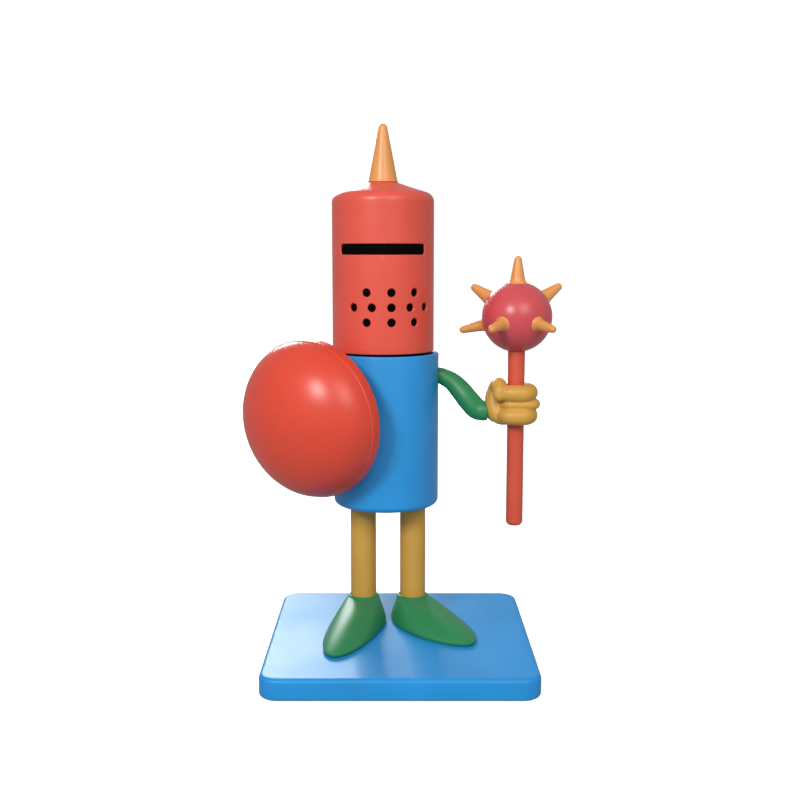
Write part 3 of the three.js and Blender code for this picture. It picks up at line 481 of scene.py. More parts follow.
# The shaft is painted a shade paler than the shield, and the base is more satin than the body.
SHAFT_COLOUR = (0.68, 0.088, 0.042)
SHAFT_ROUGHNESS = 0.38
BASE_ROUGHNESS = 0.37
BASE_SHINE = 0.27

FINISH = {slot: paint(slot, *look) for slot, look in PAINTS.items()}
# Near black and dull: the real finish of the black parts, and also the painted shade in the helmet's slot and
# holes and in the neck gap.
FINISH["black_plastic"] = moulded("black_plastic", (0.0008, 0.0008, 0.0009), 0.80, 1400.0, 0.05)
FINISH["natural_plastic"] = moulded("natural_plastic", (0.66, 0.63, 0.56), 0.48, 1000.0)
FINISH["foam"] = foam_sheet("foam")
FINISH["steel"] = plated_steel("steel")
FINISH["floor"] = plain_floor("floor")

# ---- base ----

BASE_CORNER = 7.0
BASE_EDGE = 1.7
BASE_FOOT_EDGE = 1.3
BASE_WALL = 2.6
BASE_ROOF = 2.6
CORNER_STEPS = 14
LEAST_CORNER = 0.4


def square_ring(bm, half, corner, height):
    """One level outline of a square with round corners, in millimetres."""
    ring = []
    for quarter in range(4):
        start = math.pi / 2 * quarter
        middle = Vector((math.cos(start + math.pi / 4), math.sin(start + math.pi / 4))) * math.sqrt(2)
        middle *= half - corner
        for k in range(CORNER_STEPS + 1):
            angle = start + math.pi / 2 * k / CORNER_STEPS
            x = middle.x + corner * math.cos(angle)
            y = middle.y + corner * math.sin(angle)
            ring.append(bm.verts.new((x * MM, y * MM, height * MM)))
    return ring


def square_loft(bm, half, corner, corners, steps):
    """Stacks square outlines along a profile of (place across the outline, height, fillet) corners,
    where 0 is the full outline and a place inside it is negative."""
    rings = [
        square_ring(bm, half + p.x, max(corner + p.x, LEAST_CORNER), p.y) for p in rounded(corners, steps)
    ]
    join_rings(bm, rings)
    bm.faces.new(rings[0])
    bm.faces.new(rings[-1])


def base_shell():
    foot, top = box_heights("base_shell")
    corners = [
        (-BASE_WALL - 2, top - BASE_ROOF),
        (-BASE_WALL, top - BASE_ROOF, 0.8),
        (-BASE_WALL, foot, 0.4),
        (0, foot, BASE_FOOT_EDGE),
        (0, top, BASE_EDGE),
        (-BASE_EDGE - 2, top),
    ]
    bm = bmesh.new()
    square_loft(bm, box_radius("base_shell"), BASE_CORNER, corners, steps=7)
    piece = looks_for("base_shell", bm, "blue_paint", "figure")
    piece.data.materials[0] = paint("base_paint", PAINTS["blue_paint"][0], BASE_ROUGHNESS, BASE_SHINE)
    return piece


def flat_sheet(node, slot, edge):
    """The base's cover or its pad: a thin square sheet with slightly rounded edges."""
    foot, top = box_heights(node)
    bm = bmesh.new()
    corners = [(-3, foot), (0, foot, edge), (0, top, edge), (-3, top)]
    square_loft(bm, box_radius(node), BASE_CORNER - BASE_WALL, corners, steps=4)
    return looks_for(node, bm, slot, "figure")


# ---- legs and shoes ----

LEG_EDGE = 0.5
SPIGOT_STEP = 1.5  # the leg's upper end is this much thinner
SHOE_COLLAR_R = 6.15
COLLAR_RIM = 0.7
SOLE_ROUND = 1.3
UPPER_SWELL = 1.25
INSTEP_RIDGE = 0.5
RIDGE_SPREAD = 0.5  # how far the ridge reaches round from the toe's direction, in radians
SHOE_SIDES = 96
COLLAR_PROUD = 0.05  # the collar's bore is this much wider than the leg
SHOE_SHAPES = {
    "shield_side": {"toe": 46.0, "heel": 9.5, "wide": 10.2, "wide_at": 7.0, "blunt": 2.0, "turn": -12.4},
    "mace_side": {"toe": 39.0, "heel": 10.0, "wide": 11.7, "wide_at": 13.0, "blunt": 1.65, "turn": 33.5},
}


def leg(side):
    node = side + "_leg"
    foot, top = box_heights(node)
    radius = box_radius(node)
    shoulder = box_heights("body_shell")[0]
    line = rounded(
        [
            (0, foot),
            (radius, foot, LEG_EDGE),
            (radius, shoulder, LEG_EDGE),
            (radius - SPIGOT_STEP, shoulder),
            (radius - SPIGOT_STEP, top, LEG_EDGE),
            (0, top),
        ]
    )
    return turned(node, line, MID_SIDES, upright(node), "ochre_paint", "figure")


def sole_point(shape, angle):
    """A point on the sole's outline, from the heel round to the toe, with the toe along +X."""
    front = shape["toe"] - shape["wide_at"]
    back = shape["wide_at"] + shape["heel"]
    along, across = math.cos(angle), math.sin(angle)
    if along >= 0:
        wide = abs(across) ** (2 / shape["blunt"]) * shape["wide"]
        return Vector((shape["wide_at"] + front * along, math.copysign(wide, across)))
    return Vector((shape["wide_at"] + back * along, shape["wide"] * across))


def angle_from_toe(angle):
    return math.atan2(math.sin(angle), math.cos(angle))


def shoe(side):
    """Lofts from the sole's outline to the round collar, with a soft ridge along the instep."""
    shape = SHOE_SHAPES[side]
    node = side + "_shoe"
    ground = box_heights("base_shell")[1]
    high = box_heights(node)[1] - ground
    levels = [(0.93, 0.0, 0.0), (0.96, 0.05, 0.0)]
    for k in range(1, 9):
        angle = math.pi / 2 * k / 8
        levels.append((0.96 + 0.04 * math.sin(angle), SOLE_ROUND * (1 - math.cos(angle)) + 0.05, 0.0))
    widest = SOLE_ROUND + 0.05
    for k in range(1, 33):
        t = k / 32
        levels.append((1.0, widest + (high - COLLAR_RIM - widest) * t, t**UPPER_SWELL))
    bm = bmesh.new()
    rings = []
    middle = Vector((shape["wide_at"], 0))
    for scale, height, share in levels:
        ring = []
        for j in range(SHOE_SIDES):
            angle = FULL_TURN * j / SHOE_SIDES
            outer = middle + (sole_point(shape, angle) - middle) * scale
            inner = Vector((SHOE_COLLAR_R * math.cos(angle), SHOE_COLLAR_R * math.sin(angle)))
            spot = outer.lerp(inner, share)
            near_toe = math.exp(-((angle_from_toe(angle) / RIDGE_SPREAD) ** 2))
            ridge = INSTEP_RIDGE * math.sin(math.pi * share) * near_toe
            ring.append(bm.verts.new((spot.x * MM, spot.y * MM, (ground + height + ridge) * MM)))
        rings.append(ring)
    # The collar turns over its rim and goes down into the leg's socket.
    leg_r = box_radius(side + "_leg") + COLLAR_PROUD
    for radius, height in (
        (SHOE_COLLAR_R - 0.08, high - 0.3),
        (SHOE_COLLAR_R - 0.3, high - 0.08),
        (SHOE_COLLAR_R - 0.55, high),
        (leg_r + 0.12, high - 0.05),
        (leg_r, high - 0.25),
        (leg_r, high - 5.5),
    ):
        ring = []
        for j in range(SHOE_SIDES):
            angle = FULL_TURN * j / SHOE_SIDES
            x, y = radius * math.cos(angle) * MM, radius * math.sin(angle) * MM
            ring.append(bm.verts.new((x, y, (ground + height) * MM)))
        rings.append(ring)
    join_rings(bm, rings)
    bm.faces.new(rings[0])
    bm.faces.new(rings[-1])
    turn = Matrix.Rotation(math.radians(shape["turn"] - 90), 4, "Z")
    bmesh.ops.transform(bm, matrix=upright(side + "_leg") @ turn, verts=bm.verts[:])
    return looks_for(node, bm, "green_paint", "figure")


# ---- body ----

BODY_WALL = 2.2
BODY_FLOOR = 2.6
BODY_FOOT_EDGE = 2.4
BODY_RIM_EDGE = 0.55
LEG_HOLE_R = 3.7
ARM_HOLE_R = 3.15


def body_shell():
    foot, top = box_heights("body_shell")
    radius = box_radius("body_shell")
    line = rounded(
        [
            (0, foot),
            (radius, foot, BODY_FOOT_EDGE),
            (radius, top, BODY_RIM_EDGE),
            (radius - BODY_WALL, top, 0.3),
            (radius - BODY_WALL, foot + BODY_FLOOR, 1.0),
            (0, foot + BODY_FLOOR),
        ],
        steps=7,
    )
    piece = turned("body_shell", line, BIG_SIDES, upright("body_shell"), "blue_paint", "figure")
    holes = bmesh.new()
    for side in SHOE_SHAPES:
        line = plug_line(LEG_HOLE_R, foot - 1, foot + BODY_FLOOR + 1)
        spin(holes, line, SMALL_SIDES, upright(side + "_leg"))
    for name in ("mace_shoulder", "shield_shoulder"):
        spot = joint_place(name)
        turn = Matrix.Rotation(math.pi / 2, 4, "Y")
        spin(holes, plug_line(ARM_HOLE_R, -4, 4), SMALL_SIDES, at(*spot) @ turn)
    boolean(piece, holes)
    return piece


def turned_ring(node, slot, body, edge, inner=0.0):
    """A plain disc or ring that takes its outside from its CAD node."""
    foot, top = box_heights(node)
    outer = box_radius(node)
    bm = bmesh.new()
    if inner:
        spin_ring(bm, ring_line(inner, outer, foot, top, edge), BIG_SIDES, upright(node))
    else:
        line = rounded([(0, foot), (outer, foot, edge), (outer, top, edge), (0, top)], 3)
        spin(bm, line, BIG_SIDES, upright(node))
    return looks_for(node, bm, slot, body)


# ---- helmet ----

HELMET_WALL = 2.2
HELMET_SIDE = 57.3
HELMET_EDGE = 4.0
HELMET_RIM_EDGE = 0.35
ROOF_SLOPE = math.radians(19)
SLOT_HALF_WIDE = 15.85
SLOT_HALF_HIGH = 2.05
SLOT_AT = 39.35
SLOT_CORNER = 1.1
SLOT_CHAMFER = 0.2
HOLE_R = 1.6
HOLE_CHAMFER = 0.3
HOLE_TURN = 10
HOLE_ROWS = [(23.2, 3, 28), (17.6, 5, 22), (12.0, 3, 28)]  # height, count and step in degrees
CREST_HOLE_R = 2.6
CUT_DEEP = 5  # the slot and the holes are cut from this far inside the helmet's surface
CUT_PAST = 0.6  # to this far outside it


def roof_line(radius, depth):
    """Profile from the straight side over the rounded edge to the middle of the roof."""
    bend = HELMET_EDGE - depth
    line = []
    for k in range(11):
        angle = (math.pi / 2 - ROOF_SLOPE) * k / 10
        across = radius - HELMET_EDGE + bend * math.cos(angle)
        line.append(Vector((across, HELMET_SIDE + bend * math.sin(angle))))
    start = line[-1]
    for k in range(1, 25):
        r = start.x * (1 - k / 24)
        height = start.y + (start.x - r) * math.tan(ROOF_SLOPE)
        swell = 0.25 * math.sin(math.pi * r / start.x) if depth == 0 else 0.0
        line.append(Vector((r, height - swell)))
    return line


def slot_block(bm, radius, stations):
    """A block bent round the helmet in the shape of the eye slot. The stations give (radius, extra size)."""
    columns = 64
    grid = []
    for r, grow in stations:
        half_angle = math.asin(SLOT_HALF_WIDE / radius) + grow / radius
        rows = []
        for i in range(columns + 1):
            share = -math.cos(math.pi * i / columns)
            azimuth = half_angle * share
            from_end = (half_angle - abs(azimuth)) * radius
            high = SLOT_HALF_HIGH + grow
            if from_end < SLOT_CORNER:
                high -= SLOT_CORNER - math.sqrt(SLOT_CORNER**2 - (SLOT_CORNER - from_end) ** 2)
            x, y = r * math.sin(azimuth), -r * math.cos(azimuth)
            rows.append([bm.verts.new((x * MM, y * MM, z * MM)) for z in (SLOT_AT - high, SLOT_AT + high)])
        grid.append(rows)
    for rows in (grid[0], grid[-1]):
        for (a, b), (c, d) in zip(rows, rows[1:]):
            bm.faces.new((a, c, d, b))
    for near, far in zip(grid, grid[1:]):
        for edge in (0, 1):
            for i in range(columns):
                bm.faces.new((near[i][edge], near[i + 1][edge], far[i + 1][edge], far[i][edge]))
        for i in (0, columns):
            bm.faces.new((near[i][0], near[i][1], far[i][1], far[i][0]))


def hole_places():
    """The azimuth and the height of each breathing hole."""
    for height, count, step in HOLE_ROWS:
        for i in range(count):
            yield HOLE_TURN + (i - (count - 1) / 2) * step, height


def hole_place(azimuth, height):
    turn = math.radians(azimuth)
    return at(0, 0, height * MM) @ aim((math.sin(turn), -math.cos(turn), 0))


def hole_cutter(bm, radius, azimuth, height):
    line = [
        (0, radius - CUT_DEEP),
        (HOLE_R, radius - CUT_DEEP),
        (HOLE_R, radius - HOLE_CHAMFER),
        (HOLE_R + HOLE_CHAMFER + CUT_PAST, radius + CUT_PAST),
        (0, radius + CUT_PAST),
    ]
    spin(bm, line, SMALL_SIDES, hole_place(azimuth, height))


def helmet_shell():
    radius = box_radius("helmet_shell")
    inner = radius - HELMET_WALL
    rim = rounded([(inner, 10), (inner, 0, 0.25), (radius, 0, HELMET_RIM_EDGE), (radius, 10)], steps=4)[1:-1]
    sides = [Vector((radius, HELMET_SIDE * k / 24)) for k in range(1, 24)]
    line = roof_line(radius, HELMET_WALL)[::-1] + rim + sides + roof_line(radius, 0)
    bm = bmesh.new()
    spin(bm, line, BIG_SIDES)
    piece = looks_for("helmet_shell", bm, "coral_paint", "helmet")
    slot = bmesh.new()
    mouth = (radius + CUT_PAST, SLOT_CHAMFER + CUT_PAST)
    slot_block(slot, radius, [(radius - CUT_DEEP, 0.0), (radius - SLOT_CHAMFER, 0.0), mouth])
    boolean(piece, slot)
    holes = bmesh.new()
    for azimuth, height in hole_places():
        hole_cutter(holes, radius, azimuth, height)
    spin(holes, plug_line(CREST_HOLE_R, 50, 80), SMALL_SIDES)
    boolean(piece, holes)
    piece.data.transform(upright("helmet_shell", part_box("helmet_shell")[0].z))
    return piece


LINER_WALL = 0.8
BAR_BELOW = 0.4  # the bar in the eye slot stops this far below the helmet's surface
BAR_GAP = 0.06  # between the bar and the slot's sides
STUD_BELOW = 0.9  # the studs in the holes stop this far below the surface
STUD_GAP = 0.05


def helmet_liner():
    """The dark liner, with a raised black bar in the eye slot and a black stud in each breathing hole, which sit
    just under the surface as painted shade for the dark insides of the slot and the holes.
    """
    low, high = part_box("helmet_liner")
    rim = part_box("helmet_shell")[0].z
    outer = box_radius("helmet_liner")
    foot, top = (low.z - rim) / MM, (high.z - rim) / MM
    bm = bmesh.new()
    spin_ring(bm, ring_line(outer - LINER_WALL, outer, foot, top, 0.2), BIG_SIDES)
    piece = looks_for("helmet_liner", bm, "black_plastic", "helmet")
    # The bar and the studs bring black up close under the slot and the holes: painted shade standing in for the
    # shade inside them.
    bar = bmesh.new()
    radius = box_radius("helmet_shell")
    root = outer - 0.4
    slot_block(bar, radius, [(root, -BAR_GAP), (radius - BAR_BELOW, -BAR_GAP)])
    stud = plug_line(HOLE_R - STUD_GAP, root, radius - STUD_BELOW)
    for azimuth, height in hole_places():
        spin(bar, stud, SMALL_SIDES, hole_place(azimuth, height))
    boolean(piece, bar, "UNION")
    piece.data.transform(upright("helmet_liner", rim))
    return piece


CREST_R = 5.35
CREST_TIP_R = 1.75
CREST_PEG_R = 2.5
CREST_FOOT_PAST = 0.55  # the flared foot is this much wider than the cone


def crest():
    """The cone on the roof. Its heights are measured from the helmet's rim."""
    rim = box_heights("helmet_shell")[0]
    foot, top = (height - rim for height in box_heights("helmet_crest"))
    seat_start = roof_line(box_radius("helmet_shell"), 0)[10]

    def seat(r):
        return seat_start.y + (seat_start.x - r) * math.tan(ROOF_SLOPE) - 0.12

    tip_middle = top - CREST_TIP_R
    tip = [
        Vector((CREST_TIP_R * math.cos(a), tip_middle + CREST_TIP_R * math.sin(a)))
        for a in [math.pi / 2 * k / 9 for k in range(1, 10)]
    ]
    tip[-1].x = 0
    line = rounded(
        [
            (0, foot),
            (CREST_PEG_R, foot, 0.3),
            (CREST_PEG_R, seat(CREST_PEG_R)),
            (CREST_R + CREST_FOOT_PAST, seat(CREST_R + CREST_FOOT_PAST), 0.15),
            (CREST_R + 0.15, seat(CREST_R) + 0.9, 0.6),
            (CREST_TIP_R, tip_middle),
            (CREST_TIP_R, tip_middle + 0.01),
        ],
        steps=5,
    )[:-1] + tip
    return turned("helmet_crest", line, MID_SIDES, upright("helmet_crest", rim * MM), "gold_paint", "helmet")


# ---- arms ----

CUFF_DEEP = 0.6  # how far an arm's end goes into the fist's cuff
ARM_PEG_R = 3.0
CLIP_GROOVE_R = 2.2
CLIP_ROOM = 0.25  # the groove is this much longer than the clip at each end
WRIST_NECK_R = 2.2
WRIST_HEAD_R = 2.7
TRIM = 20  # side of the cubes that cut an arm's ends flat
# Middle lines of the arms, in millimetres from the place where the peg enters the body.
ARM_LINES = {
    "mace": [
        *[(0.25, 0, 0.1), (1.6, 0, -0.35), (5.3, -0.5, -2.3), (8.6, -1.6, -5.5)],
        *[(11.5, -3.6, -9.0), (14.4, -6.6, -12.0), (16.6, -8.5, -12.7), (18.0, -8.5, -12.7)],
    ],
    "shield": [
        *[(-0.25, 0, 0), (-1.4, 0.1, 0), (-5.0, 1.4, -0.6)],
        *[(-7.9, 3.4, -2.8), (-9.0, 5.3, -5.6), (-9.0, 5.3, -7.7)],
    ],
}
ARM_RADII = {
    "mace": [3.1, 3.2, 3.6, 4.05, 4.2, 4.2, 3.95, 3.85],
    "shield": [3.7, 3.9, 4.1, 4.1, 3.95, 3.85],
}


def arm(name):
    """A bent arm, flat where it meets the body, with its shoulder peg and wrist peg."""
    shoulder = joint_place(name + "_shoulder")
    place = at(*shoulder)
    side = 1 if name == "mace" else -1
    bm = bmesh.new()
    line = ARM_LINES[name]
    extended = [(line[0][0] - side * 3.0, 0, 0.3)] + line
    sweep(bm, extended, [ARM_RADII[name][0]] + ARM_RADII[name], 56, 40, place=place)
    node = name + "_arm"
    piece = looks_for(node, bm, "green_paint", node)
    wrist = joint_place(name + "_wrist")
    hand = (Vector(line[-1]) - Vector(line[-2])).normalized()
    reach = TRIM * MM
    ends = bmesh.new()
    cube(ends, shoulder - Vector((side * (reach / 2 - 0.1 * MM), 0, 0)), reach)
    cube(ends, wrist + hand * (reach / 2 + CUFF_DEEP * MM), reach)
    boolean(piece, ends)
    peg = bmesh.new()
    spin(peg, wrist_peg_line(), SMALL_SIDES, at(*wrist) @ aim(hand))
    turn = Matrix.Rotation(side * math.pi / 2, 4, "Y")
    peg_low = min(abs(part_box(node)[0].x - shoulder.x), abs(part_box(node)[1].x - shoulder.x)) / MM
    groove = box_groove(name)
    line = rounded(
        [
            (0, -peg_low),
            (ARM_PEG_R, -peg_low, 0.3),
            (ARM_PEG_R, -groove[1], 0.1),
            (CLIP_GROOVE_R, -groove[1]),
            (CLIP_GROOVE_R, -groove[0]),
            (ARM_PEG_R, -groove[0], 0.1),
            (ARM_PEG_R, 1.5),
            (0, 1.5),
        ],
        steps=3,
    )
    spin(peg, line, SMALL_SIDES, place @ turn)
    boolean(piece, peg, "UNION")
    return piece


def cube(bm, middle, side):
    made = bmesh.ops.create_cube(bm, size=side)["verts"]
    bmesh.ops.translate(bm, vec=middle, verts=made)


def wrist_peg_line():
    """A neck and a wider head that snaps into the fist, from the arm's flat end."""
    neck = [(0, 0.2), (WRIST_NECK_R, 0.2), (WRIST_NECK_R, 3.0)]
    return rounded(neck + [(WRIST_HEAD_R, 3.0, 0.2), (WRIST_HEAD_R, 4.4, 0.3), (0, 4.4)], steps=3)


def box_groove(name):
    """Where the clip's groove starts and ends, as distances inside the body's side."""
    low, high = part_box(name + "_arm_clip")
    shoulder = joint_place(name + "_shoulder")
    ends = sorted((abs(low.x - shoulder.x) / MM, abs(high.x - shoulder.x) / MM))
    return ends[0] - CLIP_ROOM, ends[1] + CLIP_ROOM


# ---- fists ----

GRIP_AT = 11.6
GRIP_FORWARD = 1.2
# Finger rolls from the top: (height on the grip, radius, how far the knuckle stands out).
FINGER_ROLLS = [(7.5, 3.35, 0.0), (3.05, 1.9, 2.4), (-1.3, 3.35, 0.0)]
CUFF_R = 4.2
VOXEL = 0.28  # how finely a fist's shapes are melted together
FINGER_SIDES = 28
FINGER_STEPS = 48
THUMB_STEPS = 36
GRIP_GAP = 0.06  # between a fist's bore and what it holds


def fist_shapes(bm, grip_r):
    """The finger rolls, palm, knuckles and thumb of a fist. The wrist comes in along +X at the origin,
    the grip runs along Z and the fingers wrap round its front, on -Y."""
    grip_y = -GRIP_FORWARD
    front = grip_y - grip_r - 3.0
    palm_y = grip_r + 1.05
    # Palm, heel and back of the hand.
    blob(bm, (9.0, 5.2, 7.3), (10.0, palm_y, 2.8))
    blob(bm, (6.2, 5.8, 6.6), (6.3, palm_y - 3.2, 1.9))
    blob(bm, (4.9, 5.0, 5.2), (4.6, 0.0, 0.4))
    blob(bm, (4.0, 4.8, 6.2), (14.8, palm_y - 1.4, 3.0))
    for high, radius, out in FINGER_ROLLS:
        line = [
            (GRIP_AT - 5.2, front + 2.4, high),
            (GRIP_AT - 3.0, front + 0.2, high),
            (GRIP_AT + 1.0, front - 0.3, high),
            (GRIP_AT + 3.2 + out, front + 0.4, high),
            (GRIP_AT + 4.7 + out, front + 3.0, high),
            (GRIP_AT + 4.8 + out, grip_y + 0.4, high),
            (GRIP_AT + 3.6 + out, grip_y + 4.2, high),
        ]
        sizes = [radius * share for share in (0.86, 0.97, 1, 1, 1, 1, 0.95)]
        sweep(bm, line, sizes, FINGER_STEPS, FINGER_SIDES)
    # The ball of the thumb rises along the wrist side, and the thumb folds down over the first finger.
    thumb_ball = [(8.6, -4.0, -2.4), (5.2, -3.4, -1.6), (3.5, -2.2, 1.0), (3.3, -0.8, 4.8), (4.2, 0.2, 8.0)]
    sweep(bm, thumb_ball, [2.7, 3.3, 3.6, 3.6, 3.5], THUMB_STEPS, FINGER_SIDES)
    thumb = [(4.4, 0.4, 8.0), (4.6, -2.2, 9.8), (4.8, -4.9, 10.0), (4.7, -7.0, 8.6), (4.6, -7.6, 7.0)]
    sweep(bm, thumb, [3.4, 3.3, 3.0, 2.75, 2.5], THUMB_STEPS, FINGER_SIDES)


def fist(node, body, place, grip_r, mirrored=False):
    """Melts the shapes into one skin, then bores it for the grip and for the wrist peg."""
    bm = bmesh.new()
    fist_shapes(bm, grip_r)
    if mirrored:
        bmesh.ops.transform(bm, matrix=Matrix.Diagonal((1, 1, -1, 1)), verts=bm.verts[:])
        bmesh.ops.reverse_faces(bm, faces=bm.faces[:])
    piece = mesh_object(node + "_visual", bm)
    remesh = piece.modifiers.new("one_skin", "REMESH")
    remesh.mode = "VOXEL"
    remesh.voxel_size = VOXEL * MM
    remesh.use_smooth_shade = True
    relax = piece.modifiers.new("relax", "SMOOTH")
    relax.factor = 0.5
    relax.iterations = 9
    apply_modifiers(piece)
    bore = bmesh.new()
    spin(bore, plug_line(grip_r, -20, 25), MID_SIDES, at(GRIP_AT * MM, -GRIP_FORWARD * MM, 0))
    neck_r, head_r = WRIST_NECK_R + 0.2, WRIST_HEAD_R + 0.2
    cuff = [(0, -3), (CUFF_R, -3), (CUFF_R, 0.8), (neck_r, 0.8)]
    socket = [(neck_r, 2.9), (head_r, 2.9), (head_r, 4.6), (0, 4.6)]
    spin(bore, cuff + socket, MID_SIDES, aim((1, 0, 0)))
    boolean(piece, bore)
    piece.data.transform(place)
    shade(piece, math.radians(45))
    finish_piece(piece, "ochre_paint", body, node)
    return piece


# ---- mace ----

BALL_SEAT = 4.0  # how far the full shaft goes into the ball
BALL_BORE_R = 3.45
SNAP_AT = 10.0  # the snap end starts this far above the ball's underside
SNAP_NECK_R = 2.3
SNAP_HEAD_R = 2.8
SPIKE_REACH = 23.2
SPIKE_PEG_R = 1.3
SPIKE_PEG_LONG = 3.5
SPIKE_FLARE = 0.7  # the foot's flare dies away over this height
# Radii of a spike's flared foot, of its cone at the foot and of its blunt tip.
STOUT = (3.75, 3.05, 1.45)
SLIM = (2.9, 2.3, 1.4)
# Each spike's azimuth and elevation in degrees. Azimuth 0 points to the front.
SPIKES = [
    (0, 88, STOUT),
    (116, 31, STOUT),
    (-124, 30, STOUT),
    (31, -9, SLIM),
    (-31, -9, SLIM),
    (-107, -14, SLIM),
    (155, -12, SLIM),
]


def mace_shaft():
    foot, top = box_heights("mace_shaft")
    radius = box_radius("mace_shaft")
    ball_low = box_heights("mace_ball")[0]
    line = rounded(
        [
            (0, foot),
            (radius - 0.85, foot, 0.35),
            (radius, foot + 1.1, 0.5),
            (radius, ball_low + BALL_SEAT, 0.2),
            (SNAP_NECK_R, ball_low + BALL_SEAT),
            (SNAP_NECK_R, ball_low + SNAP_AT),
            (SNAP_HEAD_R, ball_low + SNAP_AT, 0.2),
            (2.0, top),
            (0, top),
        ],
        steps=5,
    )
    piece = turned("mace_shaft", line, MID_SIDES, upright("mace_shaft"), "orange_red_paint", "mace_shaft")
    piece.data.materials[0] = paint("shaft_paint", SHAFT_COLOUR, SHAFT_ROUGHNESS)
    return piece


def mace_ball():
    radius = box_radius("mace_ball")
    start = -math.acos(BALL_BORE_R / radius)
    bore_end = -radius + BALL_SEAT + 0.2
    line = [Vector((0, bore_end)), Vector((BALL_BORE_R, bore_end))]
    steps = 72
    for k in range(steps + 1):
        angle = start + (math.pi / 2 - start) * k / steps
        line.append(Vector((radius * math.cos(angle), radius * math.sin(angle))))
    line[-1].x = 0
    return turned("mace_ball", line, BIG_SIDES, joint_at("mace_head_turn"), "rose_paint", "mace_head")


def spike(index, azimuth, elevation, sizes):
    """A blunt cone with a flared foot that follows the ball."""
    radius = box_radius("mace_ball")
    foot, cone, tip_r = sizes
    seat = math.sqrt(radius**2 - foot**2)
    line = [
        Vector((0, radius - SPIKE_PEG_LONG)),
        Vector((SPIKE_PEG_R, radius - SPIKE_PEG_LONG)),
        Vector((SPIKE_PEG_R, math.sqrt(radius**2 - SPIKE_PEG_R**2) - 0.1)),
        Vector((foot, seat - 0.06)),
    ]
    tip_middle = SPIKE_REACH - tip_r
    slope = (cone - tip_r) / (tip_middle - seat)
    for k in range(10):
        high = 3.0 * (k / 9) ** 1.5
        flare = (foot - cone) * math.exp(-high / SPIKE_FLARE)
        line.append(Vector((cone - slope * high + flare, seat + high)))
    lean = math.atan(slope)
    for k in range(10):
        angle = lean + (math.pi / 2 - lean) * k / 9
        line.append(Vector((tip_r * math.cos(angle), tip_middle + tip_r * math.sin(angle))))
    line[-1].x = 0
    turn, rise = math.radians(azimuth), math.radians(elevation)
    direction = (math.sin(turn) * math.cos(rise), -math.cos(turn) * math.cos(rise), math.sin(rise))
    node = f"mace_spike_{index}"
    place = joint_at("mace_head_turn") @ aim(direction)
    return turned(node, line, MID_SIDES, place, "gold_paint", "mace_head")


# ---- shield ----

SHIELD_R = 30.4
SHIELD_BAND = 4.6
SHIELD_DOME = 18.3
SHIELD_WALL = 2.4
SHIELD_EDGE = 0.5
SHIELD_LIP = 0.3
SHIELD_DOME_SPREAD = 1.005
SHIELD_LEDGE = 1.8  # width of the ledge that the back lies against
SHIELD_LEDGE_AT = 2.7
BACK_LOW = 0.4
BACK_HIGH = 2.4


def shield_place():
    """The shield's own frame: +Z is the way it faces, +X runs level and +Y is up."""
    out = Vector(JOINTS["shield_turn"]["axis"]).normalized()
    along = Vector((0, 0, 1)).cross(out).normalized()
    along = -along if along.x < 0 else along
    up = out.cross(along)
    turn = Matrix((along, up, out)).transposed().to_4x4()
    return at(*joint_place("shield_turn")) @ turn


def shield_hand_place():
    """The shield hand's frame at its wrist: the arm comes from above and the grip runs level."""
    down = Vector((0, 0, -1))
    level = shield_place().to_3x3().col[0]
    turn = Matrix((down, level.cross(down), level)).transposed().to_4x4()
    return joint_at("shield_wrist") @ turn


def dome_line(radius, base, height):
    """The dome's profile: part of a wider ellipse, so that it meets the band at a clear angle."""
    wide = SHIELD_DOME_SPREAD * radius
    sunk = math.sqrt(1 - (radius / wide) ** 2)
    full = height / (1 - sunk)
    steps = 48
    line = []
    for k in range(steps + 1):
        angle = math.asin(sunk) + (math.pi / 2 - math.asin(sunk)) * k / steps
        line.append(Vector((wide * math.cos(angle), base + full * (math.sin(angle) - sunk))))
    line[-1].x = 0
    return line


def shield_shell():
    inner = SHIELD_R - SHIELD_WALL
    crease = SHIELD_R - SHIELD_LIP
    outside = dome_line(crease, SHIELD_BAND + SHIELD_LIP, SHIELD_DOME - SHIELD_LIP)
    inside_r = inner - SHIELD_LEDGE
    inside = [
        Vector((inside_r * math.cos(a), SHIELD_BAND + (SHIELD_DOME - SHIELD_WALL) * math.sin(a)))
        for a in [math.pi / 2 * k / 20 for k in range(21)]
    ]
    inside[-1].x = 0
    rim = rounded(
        [
            (inside_r, SHIELD_BAND),
            (inside_r, SHIELD_LEDGE_AT, 0.2),
            (inner, SHIELD_LEDGE_AT, 0.2),
            (inner, 0, 0.3),
            (SHIELD_R, 0, SHIELD_EDGE),
            (SHIELD_R, SHIELD_BAND, SHIELD_LIP),
            (crease, SHIELD_BAND + SHIELD_LIP),
        ],
        steps=4,
    )
    line = inside[::-1] + rim[1:-1] + outside
    return turned("shield_shell", line, BIG_SIDES, shield_place(), "orange_red_paint", "shield")


def shield_back():
    outer = SHIELD_R - SHIELD_WALL - 0.1
    corners = [(0, BACK_LOW), (outer, BACK_LOW, 0.35), (outer, BACK_HIGH, 0.2), (0, BACK_HIGH)]
    line = rounded(corners, steps=4)
    return turned("shield_back", line, BIG_SIDES, shield_place(), "orange_red_paint", "shield")


# Behind the shield, with depths measured along the way it faces: a strap that turns on the hub screw
# and a grip bar on two posts.
STRAP_BACK = -3.0
STRAP_FRONT = -1.0
STRAP_EDGE = 0.45
BAR_DEPTH = -12.9
BAR_DROP = -6.2
BAR_POSTS = (-27.0, -6.5)
BAR_R = 2.6
POST_R = 1.8
HUB_HOLE_R = 1.65
WASHER_RADII = (1.7, 5.0)
WASHER_DEPTHS = (-0.7, 0.1)
SCREW_R = 1.5
SCREW_HEAD_R = 2.8
SCREW_HEAD_HIGH = 1.9
RECESS = (2.6, 0.6)
STRAP_DISCS = [(0.0, 0.0, 5.5)] + [(x, BAR_DROP, 3.0) for x in BAR_POSTS]


